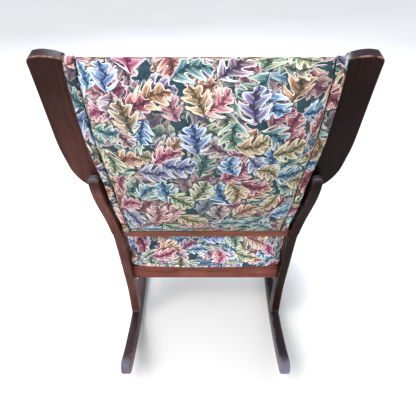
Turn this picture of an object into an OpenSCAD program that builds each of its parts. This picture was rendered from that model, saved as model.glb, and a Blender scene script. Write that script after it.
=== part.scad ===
// Rocking chair with an upholstered seat and back, sawn mahogany frame,
// board wings beside the back and curved runners. Sizes are in millimetres.
// The sitter faces -Y, +X is the sitter's left, and the floor is z = 0.
// The origin is on the floor, at the middle of the chair's width and length.

/* [Runners] */
// Radius of the curve that the chair rocks on
runner_radius = 900; // [750:10:1200]
// Depth of a runner from its top to its rocking edge
runner_depth = 46; // [38:1:56]
// Thickness of the board that a runner is sawn from
runner_width = 27; // [22:1:32]
// Reach of a runner behind the place where it rests
tail_reach = 355; // [330:5:400]
// Reach of a runner in front of the place where it rests
toe_reach = 400; // [395:5:440]
// Angle by which each runner turns outward toward the front
runner_splay = 1.2; // [0:0.2:3]
// Depth of the flat that use has worn where a runner rests
wear_depth = 0.3; // [0.1:0.1:0.5]

/* [Rear posts] */
// Distance between the middles of the rear posts' feet
foot_spacing = 461; // [440:1:480]
// Distance from the resting place back to the rear face of a rear foot
rear_post_set = 120; // [100:5:140]
// Height of the rear posts above the floor
post_height = 657; // [645:1:680]
// Thickness of the board that a rear post is sawn from
post_width = 25; // [21:1:30]
// Depth of a rear post where the seat joins it
post_depth = 44; // [40:1:52]
// Distance by which a rear post's top stands behind its foot
post_sweep = 100; // [90:1:110]
// Distance by which a rear post's top stands outside its foot
post_flare = 22; // [18:1:26]

/* [Front posts] */
// Distance from the resting place forward to the front face of a front foot
front_post_set = 330; // [310:5:350]
// Thickness of the board that a front post is sawn from
front_post_width = 29; // [25:1:34]
// Depth of a front post at its foot
front_post_depth = 48; // [42:1:56]
// Distance by which a front post's middle bows forward
front_post_bow = 16; // [8:1:24]

/* [Arms] */
// Height of the arms' top face above the floor
arm_height = 602; // [590:1:615]
// Thickness of an arm
arm_thickness = 24; // [20:1:28]
// Width of an arm at its rounded front end
arm_width = 66; // [56:1:74]
// Width of an arm where it meets the rear post
arm_rear_width = 46; // [38:1:50]
// Reach of an arm in front of the front post
arm_overhang = 42; // [34:1:56]

/* [Seat] */
// Height of the rear seat rail's top above the floor
seat_height = 262; // [250:1:275]
// Rise of the seat toward the front, in degrees
seat_slope = 7.4; // [5:0.2:9]
// Height of the seat rails
rail_height = 50; // [44:1:58]
// Thickness of the seat rails
rail_thickness = 24; // [20:1:28]
// Distance from the rear face of a rear foot forward to the rear seat rail
rear_rail_set = 10; // [6:1:14]
// Distance by which the foot of the seat's stuffing overhangs the rear rail
seat_overhang = 4; // [2:1:8]
// Distance by which the sprung seat swells back over the rear rail
seat_swell = 40; // [30:2:44]
// Thickness of the stuffed seat at its edge
seat_edge = 72; // [60:2:80]
// Height by which the seat's middle stands above its edge
seat_crown = 28; // [20:1:36]

/* [Back] */
// Rake of the back from upright, in degrees
back_lean = 13.4; // [12:0.2:15]
// Height of the back's foot above the floor
back_foot_height = 447; // [442:1:456]
// Distance from a rear foot's rear face back to the back frame's foot
back_foot_set = 40; // [36:1:44]
// Height of the stuffed back along its slope
back_height = 519; // [508:1:526]
// Width of the stuffed back at its widest
back_width = 494; // [484:1:498]
// Space between a rear post and the stuffed back beside it
back_gap = 3.1; // [2:0.1:4]
// Slope of the back's top down toward the front, from square to the back
back_top_slope = 31; // [27:1:34]
// Thickness of the wooden back frame
back_frame_thickness = 28; // [24:1:30]
// Width of a back stile
stile_width = 42; // [36:1:48]
// Height of the back's top rail
top_rail_height = 46; // [38:1:54]
// Height of the bare rail at the back's foot
foot_rail_height = 28; // [24:1:32]
// Thickness of the stuffed inside back at its edge
back_edge = 34; // [28:1:42]
// Height by which the inside back's middle stands above its edge
back_crown = 30; // [20:1:38]
// Thickness of the padded outside back at its edge
outside_edge = 9; // [7:1:12]
// Height by which the outside back's middle stands above its edge
outside_crown = 26; // [14:2:34]

/* [Wings] */
// Thickness of the wing boards
wing_thickness = 24; // [20:1:28]
// Distance between the outer edges of the two wings
wing_span = 627; // [615:1:640]
// Height of a wing's crest above the back's foot, along the slope
wing_height = 505; // [496:1:514]
// Distance from the back frame's rear face forward to a wing
wing_set = 9.5; // [8:0.5:11]

/* [Joinery] */
// Diameter of the large dowels
dowel_diameter = 12; // [10:1:13]
// Length of a dowel
dowel_length = 40; // [32:1:44]
// Diameter of the small dowels in the rails
small_dowel_diameter = 9; // [7:1:10]
// Diameter of a screw's shank
screw_diameter = 4; // [3:0.5:4.5]
// Space between a fastener and its hole
fastener_gap = 0.15; // [0.1:0.05:0.25]
// Space between soft pieces and what they lie beside
soft_gap = 0.4; // [0.3:0.1:0.8]

/* [Springs and webbing] */
// Thickness of the jute webbing
web_thickness = 1.6; // [1.2:0.2:2]
// Width of a strap of webbing
web_width = 50; // [44:1:54]
// Thickness of the burlap cloth
burlap_thickness = 1.2; // [0.8:0.2:1.6]
// Diameter of a seat spring at its ends
spring_diameter = 76; // [68:2:80]
// Diameter of the spring wire
spring_wire = 3.4; // [3:0.2:4]
// Turns in a seat spring
spring_turns = 4; // [3:1:5]

/* [Hidden] */

dark_wood = "#3f2320";
red_wood = "#6b3527";
pale_wood = "#c9a06a";
print_cloth = "#6d8f8c";
print_edge = "#8fa8a0";
jute = "#b59a6a";
sackcloth = "#a58b5e";
steel = "#8c8f94";
black_cloth = "#222222";

cut_over = 2;
curve_steps = 6;
round_fn = 48;
rocker_fn = 720;
side_turn = [90, 0, 90];

// Points of a smooth curve through a list of points
function smooth_at(a, b, c, d, t) = 0.5 * (2 * b + (c - a) * t
    + (2 * a - 5 * b + 4 * c - d) * t * t + (3 * b - a - 3 * c + d) * t * t * t);
function smooth_curve(p, steps = curve_steps) = [
    for (i = [0 : len(p) - 2], k = [0 : steps - 1])
        smooth_at(p[max(i - 1, 0)], p[i], p[i + 1], p[min(i + 2, len(p) - 1)], k / steps),
    p[len(p) - 1]
];
function backward(list) = [for (i = [len(list) - 1 : -1 : 0]) list[i]];
function flipped(list) = [for (i = [len(list) - 1 : -1 : 0]) [-list[i][0], list[i][1]]];
function arc(centre, radius, from, to, steps = curve_steps) = [
    for (k = [0 : steps]) centre + radius * [cos(from + (to - from) * k / steps),
                                             sin(from + (to - from) * k / steps)]
];

// Places along the chair, where y grows toward the rear
contact_y = (toe_reach - tail_reach) / 2 * cos(runner_splay);
rear_foot_y = contact_y + rear_post_set;
front_foot_y = contact_y - front_post_set;
foot_x = foot_spacing / 2;
rear_foot_middle = rear_foot_y - post_depth / 2;
front_foot_middle = front_foot_y + front_post_depth / 2;
function runner_x(y) = foot_x + (rear_foot_middle - y) * tan(runner_splay);
front_foot_x = runner_x(front_foot_middle);
post_inner_x = foot_x - post_width / 2;
front_post_inner_x = front_foot_x - front_post_width / 2;
rocker_centre_z = runner_radius - wear_depth;
function runner_top_z(y) = rocker_centre_z
    - sqrt(pow(runner_radius - runner_depth, 2) - pow(y - contact_y, 2));
rail_y = rear_foot_y - rear_rail_set;
function seat_z(y) = seat_height + (rail_y - y) * tan(seat_slope);

// A board sawn to a side outline of [y, z] points, with its middle at x
module side_board(points, x, width) {
    translate([x, 0, 0])
        rotate(side_turn)
            linear_extrude(height = width, center = true)
                polygon(points);
}

// Turns a piece outward about the rear foot, in line with the runner
module in_line_with_runner() {
    translate([foot_x, rear_foot_middle, 0])
        rotate([0, 0, runner_splay])
            translate([-foot_x, -rear_foot_middle, 0])
                children();
}

module mirrored() {
    mirror([1, 0, 0])
        children();
}

module both_sides() {
    children();
    mirrored()
        children();
}

// Runners
runner_middle_radius = runner_radius - runner_depth / 2;
tail_angle = asin((tail_reach - runner_depth / 2) / runner_middle_radius);
toe_angle = asin((toe_reach - runner_depth / 2) / runner_middle_radius);
runner_pivot_y = (contact_y - rear_foot_middle) / cos(runner_splay) + rear_foot_middle;
wedge_reach = runner_radius * 2;

module runner_end(angle) {
    rotate(angle)
        translate([0, -runner_middle_radius])
            circle(d = runner_depth, $fn = round_fn);
}

module runner_outline() {
    translate([runner_pivot_y, rocker_centre_z]) {
        intersection() {
            difference() {
                circle(r = runner_radius, $fn = rocker_fn);
                circle(r = runner_radius - runner_depth, $fn = rocker_fn);
            }
            polygon([
                [0, 0],
                wedge_reach * [-sin(toe_angle), -cos(toe_angle)],
                wedge_reach * [sin(tail_angle), -cos(tail_angle)]
            ]);
        }
        runner_end(tail_angle);
        runner_end(-toe_angle);
    }
}

module worn_floor() {
    translate([-wedge_reach / 2, 0])
        square([wedge_reach, wedge_reach]);
}

module runner() {
    difference() {
        in_line_with_runner()
            translate([foot_x, 0, 0])
                rotate(side_turn)
                    linear_extrude(height = runner_width, center = true)
                        intersection() {
                            runner_outline();
                            worn_floor();
                        }
        foot_pins(fastener_gap);
    }
}

// The space above the runner's top, to which the posts' feet are shaped
module above_runner() {
    in_line_with_runner()
        translate([foot_x, runner_pivot_y, rocker_centre_z])
            rotate([0, 90, 0])
                cylinder(r = runner_radius - runner_depth, h = runner_radius, center = true,
                         $fn = rocker_fn);
}

// Rear posts, sawn in side view and again in front view.
// Each row is the share of the height, of the sweep and of the depth.
post_side_shares = [
    [0, 0, 0.95], [0.14, 0, 0.95], [0.27, 0.05, 1], [0.42, 0.22, 1], [0.57, 0.41, 1],
    [0.68, 0.54, 0.98], [0.76, 0.63, 0.9], [0.83, 0.76, 0.76], [0.89, 0.89, 0.62],
    [0.95, 1, 0.52], [1, 1.04, 0.42]
];
// Each row is the share of the height and of the flare
post_flare_shares = [
    [0, 0], [0.6, 0], [0.69, 0.18], [0.76, 0.47], [0.83, 0.75], [0.89, 0.93], [0.95, 1], [1, 1]
];
post_rear_edge = smooth_curve([for (s = post_side_shares)
    [rear_foot_y + s[1] * post_sweep, s[0] * post_height]]);
post_front_edge = smooth_curve([for (s = post_side_shares)
    [rear_foot_y + s[1] * post_sweep - s[2] * post_depth, s[0] * post_height]]);
post_inner_edge = smooth_curve([for (s = post_flare_shares)
    [post_inner_x + s[1] * post_flare, s[0] * post_height]]);
post_corner = post_width * 0.4;
post_top_arc = arc([post_inner_x + post_flare + post_corner, post_height - post_corner],
                   post_corner, 180, 90);
post_top_outer_arc = arc([post_inner_x + post_flare + post_width - post_corner,
                          post_height - post_corner], post_corner, 90, 0);
post_front_outline = concat(
    [for (p = post_inner_edge) if (p[1] < post_height - post_corner) p],
    post_top_arc, post_top_outer_arc,
    [for (p = backward(post_inner_edge)) if (p[1] < post_height - post_corner)
        [p[0] + post_width, p[1]]]);

module post_blank() {
    intersection() {
        side_board(concat(post_front_edge, backward(post_rear_edge)), foot_x, foot_spacing);
        translate([0, rear_foot_y, 0])
            rotate([90, 0, 0])
                linear_extrude(height = post_sweep * 6, center = true)
                    polygon(post_front_outline);
        above_runner();
    }
}

module rear_post() {
    difference() {
        post_blank();
        foot_pins(fastener_gap);
        seat_rail_pins(fastener_gap);
        arm_rear_pin(fastener_gap);
        back_rail_pin(fastener_gap);
        wing_pins(fastener_gap);
        wing_lap_pins(fastener_gap);
    }
}

// Front posts, sawn from board and bowed forward under the arm.
// Each row is the share of the height, of the bow and of the depth.
front_post_shares = [
    [0, 0, 1], [0.2, 0, 0.9], [0.4, 0.45, 0.86], [0.6, 0.95, 0.94], [0.75, 1, 0.9],
    [0.88, 0.7, 0.86], [1, 0.45, 1]
];
front_post_height = arm_height - arm_thickness;
front_post_front_edge = smooth_curve([for (s = front_post_shares)
    [front_foot_y - s[1] * front_post_bow, s[0] * front_post_height]]);
front_post_rear_edge = smooth_curve([for (s = front_post_shares)
    [front_foot_y - s[1] * front_post_bow + s[2] * front_post_depth, s[0] * front_post_height]]);

module front_post_blank() {
    intersection() {
        side_board(concat(front_post_front_edge, backward(front_post_rear_edge)),
                   front_foot_x, front_post_width);
        above_runner();
    }
}

module front_post() {
    difference() {
        front_post_blank();
        foot_pins(fastener_gap);
        seat_rail_pins(fastener_gap);
        arm_front_pin(fastener_gap);
    }
}

// Arms, whose outlines are points of [x, y] seen from above
arm_rear_y = rear_foot_y + back_foot_set;
arm_front_y = front_foot_y - arm_overhang;
arm_rear_x = post_inner_x + post_flare * 0.8 + post_width / 2;
arm_front_x = front_foot_x + arm_width * 0.2;
arm_length = arm_rear_y - arm_front_y;
// Each row is the share of the length from the rear, of the spread and of the width
arm_shares = [
    [0, 0, 0], [0.18, 0.06, 0.1], [0.4, 0.4, 0.42], [0.6, 0.8, 0.78], [0.78, 1, 1]
];
function arm_middle(s) = arm_rear_x + s * (arm_front_x - arm_rear_x);
function arm_half(s) = (arm_rear_width + s * (arm_width - arm_rear_width)) / 2;
arm_outer_edge = smooth_curve([for (s = arm_shares)
    [arm_middle(s[1]) + arm_half(s[2]), arm_rear_y - s[0] * arm_length]]);
arm_inner_edge = smooth_curve([for (s = arm_shares)
    [arm_middle(s[1]) - arm_half(s[2]), arm_rear_y - s[0] * arm_length]]);
arm_nose = arc([arm_front_x, arm_front_y + arm_width / 2], arm_width / 2, 0, -180, 18);

module arm() {
    difference() {
        translate([0, 0, arm_height - arm_thickness])
            linear_extrude(height = arm_thickness)
                polygon(concat(arm_outer_edge, arm_nose, backward(arm_inner_edge)));
        post_blank();
        wing_board();
        arm_rear_pin(fastener_gap);
        arm_front_pin(fastener_gap);
    }
}

// The back leans, so its pieces are drawn flat as [x, up the back] and then
// stood up. Their thickness grows forward from the frame's rear face.
module on_back(forward = 0) {
    translate([0, rear_foot_y + back_foot_set, back_foot_height])
        rotate([90 - back_lean, 0, 0])
            translate([0, 0, forward])
                children();
}

// The stuffed back's side runs along the posts and then widens above them. Each row is a
// share of the height, of the posts' flare and of the widening.
back_side_shares = [
    [0, 0, 0], [0.06, 0.06, 0], [0.1, 0.21, 0], [0.15, 0.41, 0], [0.2, 0.55, 0],
    [0.26, 0.686, 0], [0.33, 0.74, 0], [0.42, 0.955, 0], [0.55, 1, 0.634], [0.68, 1, 1],
    [0.88, 1, 1], [1, 1, 0.634]
];
back_foot_x = post_inner_x - back_gap;
back_widening = back_width / 2 - back_foot_x - post_flare;
function back_x(s) = back_foot_x + s[1] * post_flare + s[2] * back_widening;
foot_rail_top = foot_rail_height / 3;
foot_rail_bottom = foot_rail_top - foot_rail_height;
function back_v(share) = foot_rail_top + share * (back_height - foot_rail_top);
function back_side(inset) = smooth_curve([for (s = back_side_shares)
    [back_x(s) - inset, back_v(s[0])]]);
// A strip along the back's side, between two insets at its foot and its top
function tapered_side(foot_inset, top_inset) = smooth_curve([for (s = back_side_shares)
    [back_x(s) - foot_inset - s[0] * (top_inset - foot_inset), back_v(s[0])]]);
band_thickness = 5;
band_foot_width = 15;
band_top_width = 21;
band_foot_drop = 7;
stile_inset = band_thickness + soft_gap;

// The back's top slopes down toward the front, and its corners stand a little higher
corner_rise = 5;
function top_v(forward) = back_height - corner_rise
    - (forward + outside_edge) * tan(back_top_slope);
band_slant = band_thickness / cos(back_top_slope);
top_drop = band_slant + soft_gap;
top_reach = back_height / 2;
module above_top(drop) {
    on_back()
        rotate([0, -90, 0])
            linear_extrude(height = wing_span, center = true)
                polygon([
                    [-top_reach, top_v(-top_reach) - drop], [top_reach, top_v(top_reach) - drop],
                    [top_reach, 2 * back_height], [-top_reach, 2 * back_height]
                ]);
}

// Wings, in line with the back. Each row is a share of the height above the
// lower end and a share of the width outside the stuffed back.
wing_foot = (post_height * 0.83 - back_foot_height) / cos(back_lean);
wing_rise = wing_height - wing_foot;
wing_outer_shares = [
    [0, 0.12], [0.116, 0.3], [0.161, 0.47], [0.215, 0.69], [0.295, 0.86], [0.385, 0.93],
    [0.493, 0.99], [0.654, 1], [0.97, 1]
];
wing_gap = soft_gap;
function wing_base_x(v) = lookup(v, [for (p = back_side(-wing_gap)) [p[1], p[0]]]);
wing_outer_edge = smooth_curve([for (s = wing_outer_shares)
    let (v = wing_foot + s[0] * wing_rise)
    [wing_base_x(v) + s[1] * (wing_span / 2 - wing_base_x(v)), v]]);
wing_top_shares = [
    [0.981, 0.015], [0.989, 0.05], [0.9945, 0.1], [0.998, 0.2], [1, 0.42], [0.996, 0.7],
    [0.9905, 0.88], [0.982, 0.965]
];
wing_top_edge = smooth_curve([for (s = wing_top_shares)
    let (v = wing_foot + s[0] * wing_rise)
    [wing_span / 2 - s[1] * (wing_span / 2 - wing_base_x(v)), v]]);
wing_inner_edge = [for (p = backward(back_side(-wing_gap)))
    if (p[1] < wing_height * 0.975 && p[1] > wing_foot) p];
wing_inner_foot = [wing_base_x(wing_foot), wing_foot];
wing_outline = concat(wing_outer_edge, wing_top_edge, wing_inner_edge, [wing_inner_foot]);

module wing_board() {
    on_back(wing_set)
        linear_extrude(height = wing_thickness)
            polygon(wing_outline);
}

module wing() {
    difference() {
        wing_board();
        post_blank();
        arm_rear_pin(fastener_gap);
        wing_pins(fastener_gap);
        wing_lap_pins(fastener_gap);
    }
}

// Seat rails
module cross_rail(rear_y, inner_x) {
    front_y = rear_y - rail_thickness;
    floor_z = seat_z(rear_y) - rail_height;
    side_board([[rear_y, floor_z], [rear_y, seat_z(rear_y)],
                [front_y, seat_z(front_y)], [front_y, floor_z]], 0, 2 * inner_x);
}

front_rail_y = front_foot_y + rail_thickness + front_post_depth * 0.12;

module rear_rail_solid() {
    cross_rail(rail_y, post_inner_x);
}

module front_rail_solid() {
    cross_rail(front_rail_y, front_post_inner_x);
}

module side_rail_solid() {
    rear_end = rear_foot_y;
    front_end = front_foot_middle - front_post_bow;
    difference() {
        in_line_with_runner()
            side_board([[rear_end, seat_z(rear_end)], [front_end, seat_z(front_end)],
                        [front_end, seat_z(front_end) - rail_height],
                        [rear_end, seat_z(rear_end) - rail_height]], foot_x, rail_thickness);
        post_blank();
        front_post_blank();
    }
}

module side_rail() {
    difference() {
        side_rail_solid();
        seat_rail_pins(fastener_gap);
        block_screws(fastener_gap);
    }
}

// Corner blocks inside the seat frame
block_leg = rail_height * 1.1;
block_height = rail_height * 0.7;
block_drop = rail_height * 0.15;

module corner_block(corner_y, corner_x, forward) {
    difference() {
        translate([0, 0, seat_z(corner_y) - block_drop - block_height])
            linear_extrude(height = block_height)
                polygon([
                    [corner_x + rail_thickness, corner_y],
                    [corner_x - block_leg, corner_y],
                    [corner_x - block_leg, corner_y + forward * block_leg / 5],
                    [corner_x - block_leg / 5, corner_y + forward * block_leg],
                    [corner_x + rail_thickness, corner_y + forward * block_leg]
                ]);
        side_rail_cutter();
        post_blank();
        front_post_blank();
        block_screws(fastener_gap);
    }
}

// Everything from the side rail's inner face outward
module side_rail_cutter() {
    in_line_with_runner()
        translate([foot_x - rail_thickness / 2, front_foot_y - toe_reach, 0])
            cube([foot_x, tail_reach + toe_reach + foot_spacing, post_height]);
}

module corner_blocks() {
    both_sides() {
        corner_block(rail_y - rail_thickness, post_inner_x, -1);
        corner_block(front_rail_y, front_post_inner_x, 1);
    }
}

// Fasteners. Each module draws its pieces, or with a gap the holes for them.
module pin(diameter, length, gap) {
    cylinder(d = diameter + 2 * gap, h = length + 2 * gap, center = true, $fn = round_fn);
}

module foot_pin(x, y, gap) {
    translate([x, y, runner_top_z(y)])
        pin(dowel_diameter, dowel_length, gap);
}

module foot_pins(gap) {
    foot_pin(foot_x, rear_foot_middle, gap);
    foot_pin(front_foot_x, front_foot_middle, gap);
}

pin_spacing = rail_height * 0.56;
module rail_pair(x, y, z, turn, gap) {
    for (lift = [-1, 1])
        translate([x, y, z + lift * pin_spacing / 2])
            rotate(turn)
                pin(small_dowel_diameter, dowel_length * 0.7, gap);
}

cross_turn = [0, 90, 0];
length_turn = [90, 0, 0];
rear_rail_middle_z = seat_height - rail_height / 2;
front_rail_middle_z = seat_z(front_rail_y) - rail_height / 2;

module seat_rail_pins(gap) {
    rail_pair(post_inner_x, rail_y - rail_thickness / 2, rear_rail_middle_z, cross_turn, gap);
    rail_pair(front_post_inner_x, front_rail_y - rail_thickness / 2, front_rail_middle_z,
              cross_turn, gap);
}

module arm_rear_pin(gap) {
    translate([arm_rear_x, rear_foot_y + post_sweep * 0.62, arm_height - arm_thickness / 2])
        rotate(length_turn)
            pin(small_dowel_diameter, dowel_length, gap);
}

module arm_front_pin(gap) {
    translate([front_foot_x, front_foot_middle - front_post_bow / 2, front_post_height])
        pin(dowel_diameter, arm_thickness * 1.3, gap);
}

module back_rail_pin(gap) {
    on_back(back_frame_thickness * 0.42)
        translate([post_inner_x + post_flare * 0.1, (foot_rail_top + foot_rail_bottom) / 2, 0])
            rotate(cross_turn)
                pin(small_dowel_diameter, dowel_length * 0.7, gap);
}

stile_foot_x = back_foot_x - stile_inset - stile_width / 2;
top_rail_floor = back_height - stile_inset - top_rail_height;
top_rail_pin_v = top_rail_floor + top_rail_height * 0.3;

module stile_foot_pin(gap) {
    on_back(back_frame_thickness / 2)
        translate([stile_foot_x, foot_rail_top, 0])
            rotate(length_turn)
                pin(small_dowel_diameter, foot_rail_height, gap);
}

stile_top_inner_x = back_x(back_side_shares[len(back_side_shares) - 2]) - stile_inset - stile_width;
module top_rail_pin(gap) {
    on_back(back_frame_thickness / 2)
        translate([stile_top_inner_x, top_rail_pin_v, 0])
            rotate(cross_turn)
                pin(small_dowel_diameter, dowel_length * 0.8, gap);
}

// A countersunk screw along z with its head at the top. Its hole goes on past the head.
module screw(length, gap) {
    translate([0, 0, -length])
        cylinder(d = screw_diameter + 2 * gap, h = length, $fn = round_fn / 2);
    translate([0, 0, -screw_diameter / 2])
        cylinder(d1 = screw_diameter + 2 * gap, d2 = screw_diameter * 2 + 2 * gap,
                 h = screw_diameter / 2, $fn = round_fn / 2);
    if (gap > 0)
        cylinder(d = screw_diameter * 2 + 2 * gap, h = screw_diameter * 3, $fn = round_fn / 2);
}

wing_pin_shares = [0.45, 0.64, 0.83];
wing_pin_length = stile_width + wing_gap + band_thickness + (wing_span - back_width) / 6;
module wing_pins(gap) {
    for (s = wing_pin_shares)
        on_back(back_frame_thickness * 0.62)
            translate([wing_base_x(back_v(s)) - wing_gap - stile_inset - stile_width,
                       back_v(s), 0])
                rotate([0, -90, 0])
                    screw(wing_pin_length, gap);
}

lap_pin_shares = [0.93, 0.975];
module wing_lap_pins(gap) {
    for (s = lap_pin_shares)
        translate([post_inner_x + post_flare + post_width / 2, rear_foot_y + post_sweep,
                   s * post_height])
            rotate([90 - back_lean, 0, 0])
                translate([0, 0, lap_pin_forward(s)])
                    screw(lap_pin_length, gap);
}

lap_pin_length = wing_thickness * 1.3;
function back_face_y(z) = rear_foot_y + back_foot_set + (z - back_foot_height) * tan(back_lean);
function lap_pin_forward(s) = (rear_foot_y + post_sweep - back_face_y(s * post_height))
    * cos(back_lean) + wing_set + wing_thickness;

// Screws through each corner block, one into each of its two rails
block_pin_share = 0.36;
block_far_share = 0.78;
module block_screw_pair(corner_y, corner_x, forward, gap) {
    middle_z = seat_z(corner_y) - block_drop - block_height / 2;
    reach = block_leg * block_pin_share;
    depth = reach + rail_thickness * 0.7;
    far_reach = block_leg * block_far_share;
    translate([corner_x - far_reach, corner_y + forward * reach, middle_z + block_height / 5])
        rotate([-forward * 90, 0, 0])
            screw(depth, gap);
    translate([corner_x - reach, corner_y + forward * far_reach, middle_z - block_height / 5])
        rotate([0, -90, 0])
            screw(depth, gap);
}

module block_screws(gap) {
    block_screw_pair(rail_y - rail_thickness, post_inner_x, -1, gap);
    block_screw_pair(front_rail_y, front_post_inner_x, 1, gap);
}

module pinned_rail(rear) {
    difference() {
        if (rear) rear_rail_solid();
        else front_rail_solid();
        both_sides() {
            seat_rail_pins(fastener_gap);
            block_screws(fastener_gap);
        }
    }
}

// Back frame
module stile() {
    difference() {
        on_back()
            linear_extrude(height = back_frame_thickness)
                polygon(concat(back_side(stile_inset + stile_width),
                               backward(back_side(stile_inset))));
        above_top(top_drop);
        stile_foot_pin(fastener_gap);
        top_rail_pin(fastener_gap);
        wing_pins(fastener_gap);
    }
}

module top_rail() {
    difference() {
        on_back()
            translate([-back_width / 2, top_rail_floor, 0])
                cube([back_width, top_rail_height, back_frame_thickness]);
        above_top(top_drop);
        both_sides()
            on_back(-cut_over)
                linear_extrude(height = back_frame_thickness + 2 * cut_over)
                    polygon(concat(back_side(stile_inset + stile_width),
                                   backward(back_side(-foot_spacing))));
        both_sides()
            top_rail_pin(fastener_gap);
    }
}

foot_rail_proud = outside_edge * 0.6;
module foot_rail() {
    difference() {
        on_back(-foot_rail_proud)
            translate([-foot_x, foot_rail_bottom, 0])
                cube([foot_spacing, foot_rail_height, back_frame_thickness + foot_rail_proud]);
        both_sides() {
            post_blank();
            back_rail_pin(fastener_gap);
            stile_foot_pin(fastener_gap);
        }
    }
}

// Webbing, burlap and lining
seat_inner_x = foot_x - rail_thickness / 2;
seat_front_y = front_rail_y - rail_thickness;
seat_depth = rail_y - seat_front_y;
module on_seat(lift = 0) {
    translate([0, rail_y, seat_height])
        rotate([-seat_slope, 0, 0])
            translate([0, 0, lift])
                children();
}
seat_slant = seat_depth / cos(seat_slope);
web_margin = rail_thickness * 0.25;
spring_rows = 3;
spring_step_x = 2 * seat_inner_x / spring_rows;
spring_step_y = (seat_slant - 2 * rail_thickness) / spring_rows;
web_reach = spring_rows - 1;
web_floor = -rail_height / cos(seat_slope) - rail_thickness * sin(seat_slope);

module strap(length) {
    translate([-web_width / 2, -length / 2, 0])
        cube([web_width, length, web_thickness]);
}

// The straps cross under each spring and halfway between the springs
module seat_long_straps() {
    for (i = [-web_reach : web_reach])
        on_seat(web_floor - web_thickness)
            translate([i * spring_step_x / 2, -seat_slant / 2, 0])
                strap(seat_slant - 2 * web_margin);
}

module seat_cross_straps() {
    for (i = [-web_reach : web_reach])
        on_seat(web_floor - 2 * web_thickness)
            translate([0, -seat_slant / 2 + i * spring_step_y / 2, 0])
                rotate(90)
                    strap(2 * (seat_inner_x + web_margin));
}

module seat_sheet(lift, thickness, margin) {
    rear_x = seat_inner_x + rail_thickness - margin;
    front_x = rear_x + seat_slant * tan(runner_splay);
    difference() {
        on_seat(lift)
            linear_extrude(height = thickness)
                polygon([[-rear_x, -margin], [-front_x, margin - seat_slant],
                         [front_x, margin - seat_slant], [rear_x, -margin]]);
        both_sides() {
            post_room();
            front_post_room();
        }
    }
}

// The posts with a little room round them, as the seat's soft pieces see them
module post_room() {
    side_board(concat([for (p = post_front_edge) [p[0] - soft_gap, p[1]]],
                      [[rear_foot_y + 2 * post_sweep, post_height],
                       [rear_foot_y + 2 * post_sweep, 0]]),
               post_inner_x - soft_gap + foot_x, foot_spacing);
}

module front_post_room() {
    translate([front_post_inner_x - soft_gap, front_foot_y - front_post_bow - soft_gap * 2,
               seat_height / 2])
        cube([foot_spacing, front_post_depth * 0.96 + soft_gap * 2, seat_height * 2]);
}

burlap_lift = web_thickness * 0.2;

// Coil springs of the seat, standing on the webbing under the burlap, with flat end turns
coil_rings = 9;
wire_sides = 5;
flat_turns = 0.7;
spring_height = burlap_lift - web_floor - soft_gap / 2;
function coil_rise(t) = let (flat = flat_turns / spring_turns)
    max(0, min(1, (t - flat) / (1 - 2 * flat)));
function coil_radius(t) = (spring_diameter - spring_wire) / 2 * (0.78 + 0.22 * pow(2 * t - 1, 2));
function coil_point(t) = [
    coil_radius(t) * cos(360 * spring_turns * t), coil_radius(t) * sin(360 * spring_turns * t),
    spring_wire / 2 + (spring_height - spring_wire) * coil_rise(t)];
spring_rings = spring_turns * coil_rings;
function coil_ring(i) =
    let (t = i / spring_rings, a = 360 * spring_turns * t, out = [cos(a), sin(a), 0])
    [for (k = [0 : wire_sides - 1])
        coil_point(t) + spring_wire / 2 * (cos(360 * k / wire_sides) * out
                                           + [0, 0, sin(360 * k / wire_sides)])];
function tube_faces(rings, sides) = concat(
    [for (k = [1 : sides - 2]) [0, k, k + 1]],
    [for (i = [0 : rings - 1], k = [0 : sides - 1]) let (n = (k + 1) % sides)
        [i * sides + k, (i + 1) * sides + k, (i + 1) * sides + n]],
    [for (i = [0 : rings - 1], k = [0 : sides - 1]) let (n = (k + 1) % sides)
        [i * sides + k, (i + 1) * sides + n, i * sides + n]],
    [for (k = [1 : sides - 2]) [rings * sides, rings * sides + k + 1, rings * sides + k]]);

module spring() {
    polyhedron([for (i = [0 : spring_rings]) each coil_ring(i)],
               tube_faces(spring_rings, wire_sides));
}

module springs() {
    for (i = [0 : spring_rows - 1], j = [0 : spring_rows - 1])
        on_seat(web_floor)
            translate([(i - (spring_rows - 1) / 2) * spring_step_x,
                       (j - (spring_rows - 1) / 2) * spring_step_y - seat_slant / 2, 0])
                spring();
}

// A stuffed pad. Rings of one outline are drawn in toward a middle point, each
// at its own height, from the foot of the side up to the crown.
// A ring also leans along y beyond the middle, and most at the outline's far end.
function ring_scale(inset, half) = 1 - inset / half;
function ring_y(y, middle, half, lean) = y + lean * max(0, (y - middle[1]) / half[1]);
function pad_ring(outline, middle, half, inset, height, lean) = [for (p = outline)
    [middle[0] + (p[0] - middle[0]) * ring_scale(inset, half[0]),
     ring_y(middle[1] + (p[1] - middle[1]) * ring_scale(inset, half[1]), middle, half, lean),
     height]];
function pad_faces(rings, n) = concat(
    [for (i = [0 : rings - 2], k = [0 : n - 1]) let (m = (k + 1) % n)
        [i * n + k, (i + 1) * n + m, i * n + m]],
    [for (i = [0 : rings - 2], k = [0 : n - 1]) let (m = (k + 1) % n)
        [i * n + k, (i + 1) * n + k, (i + 1) * n + m]],
    [for (k = [0 : n - 1]) [rings * n, k, (k + 1) % n]],
    [for (k = [0 : n - 1]) [rings * n + 1, (rings - 1) * n + (k + 1) % n, (rings - 1) * n + k]]);

module pad(outline, middle, half, insets, heights, leans) {
    rings = len(insets);
    polyhedron(concat([for (i = [0 : rings - 1])
                           each pad_ring(outline, middle, half, insets[i], heights[i], leans[i])],
                      [[middle[0], middle[1], heights[0]],
                       [middle[0], middle[1], heights[rings - 1]]]),
               pad_faces(rings, len(outline)));
}

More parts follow.
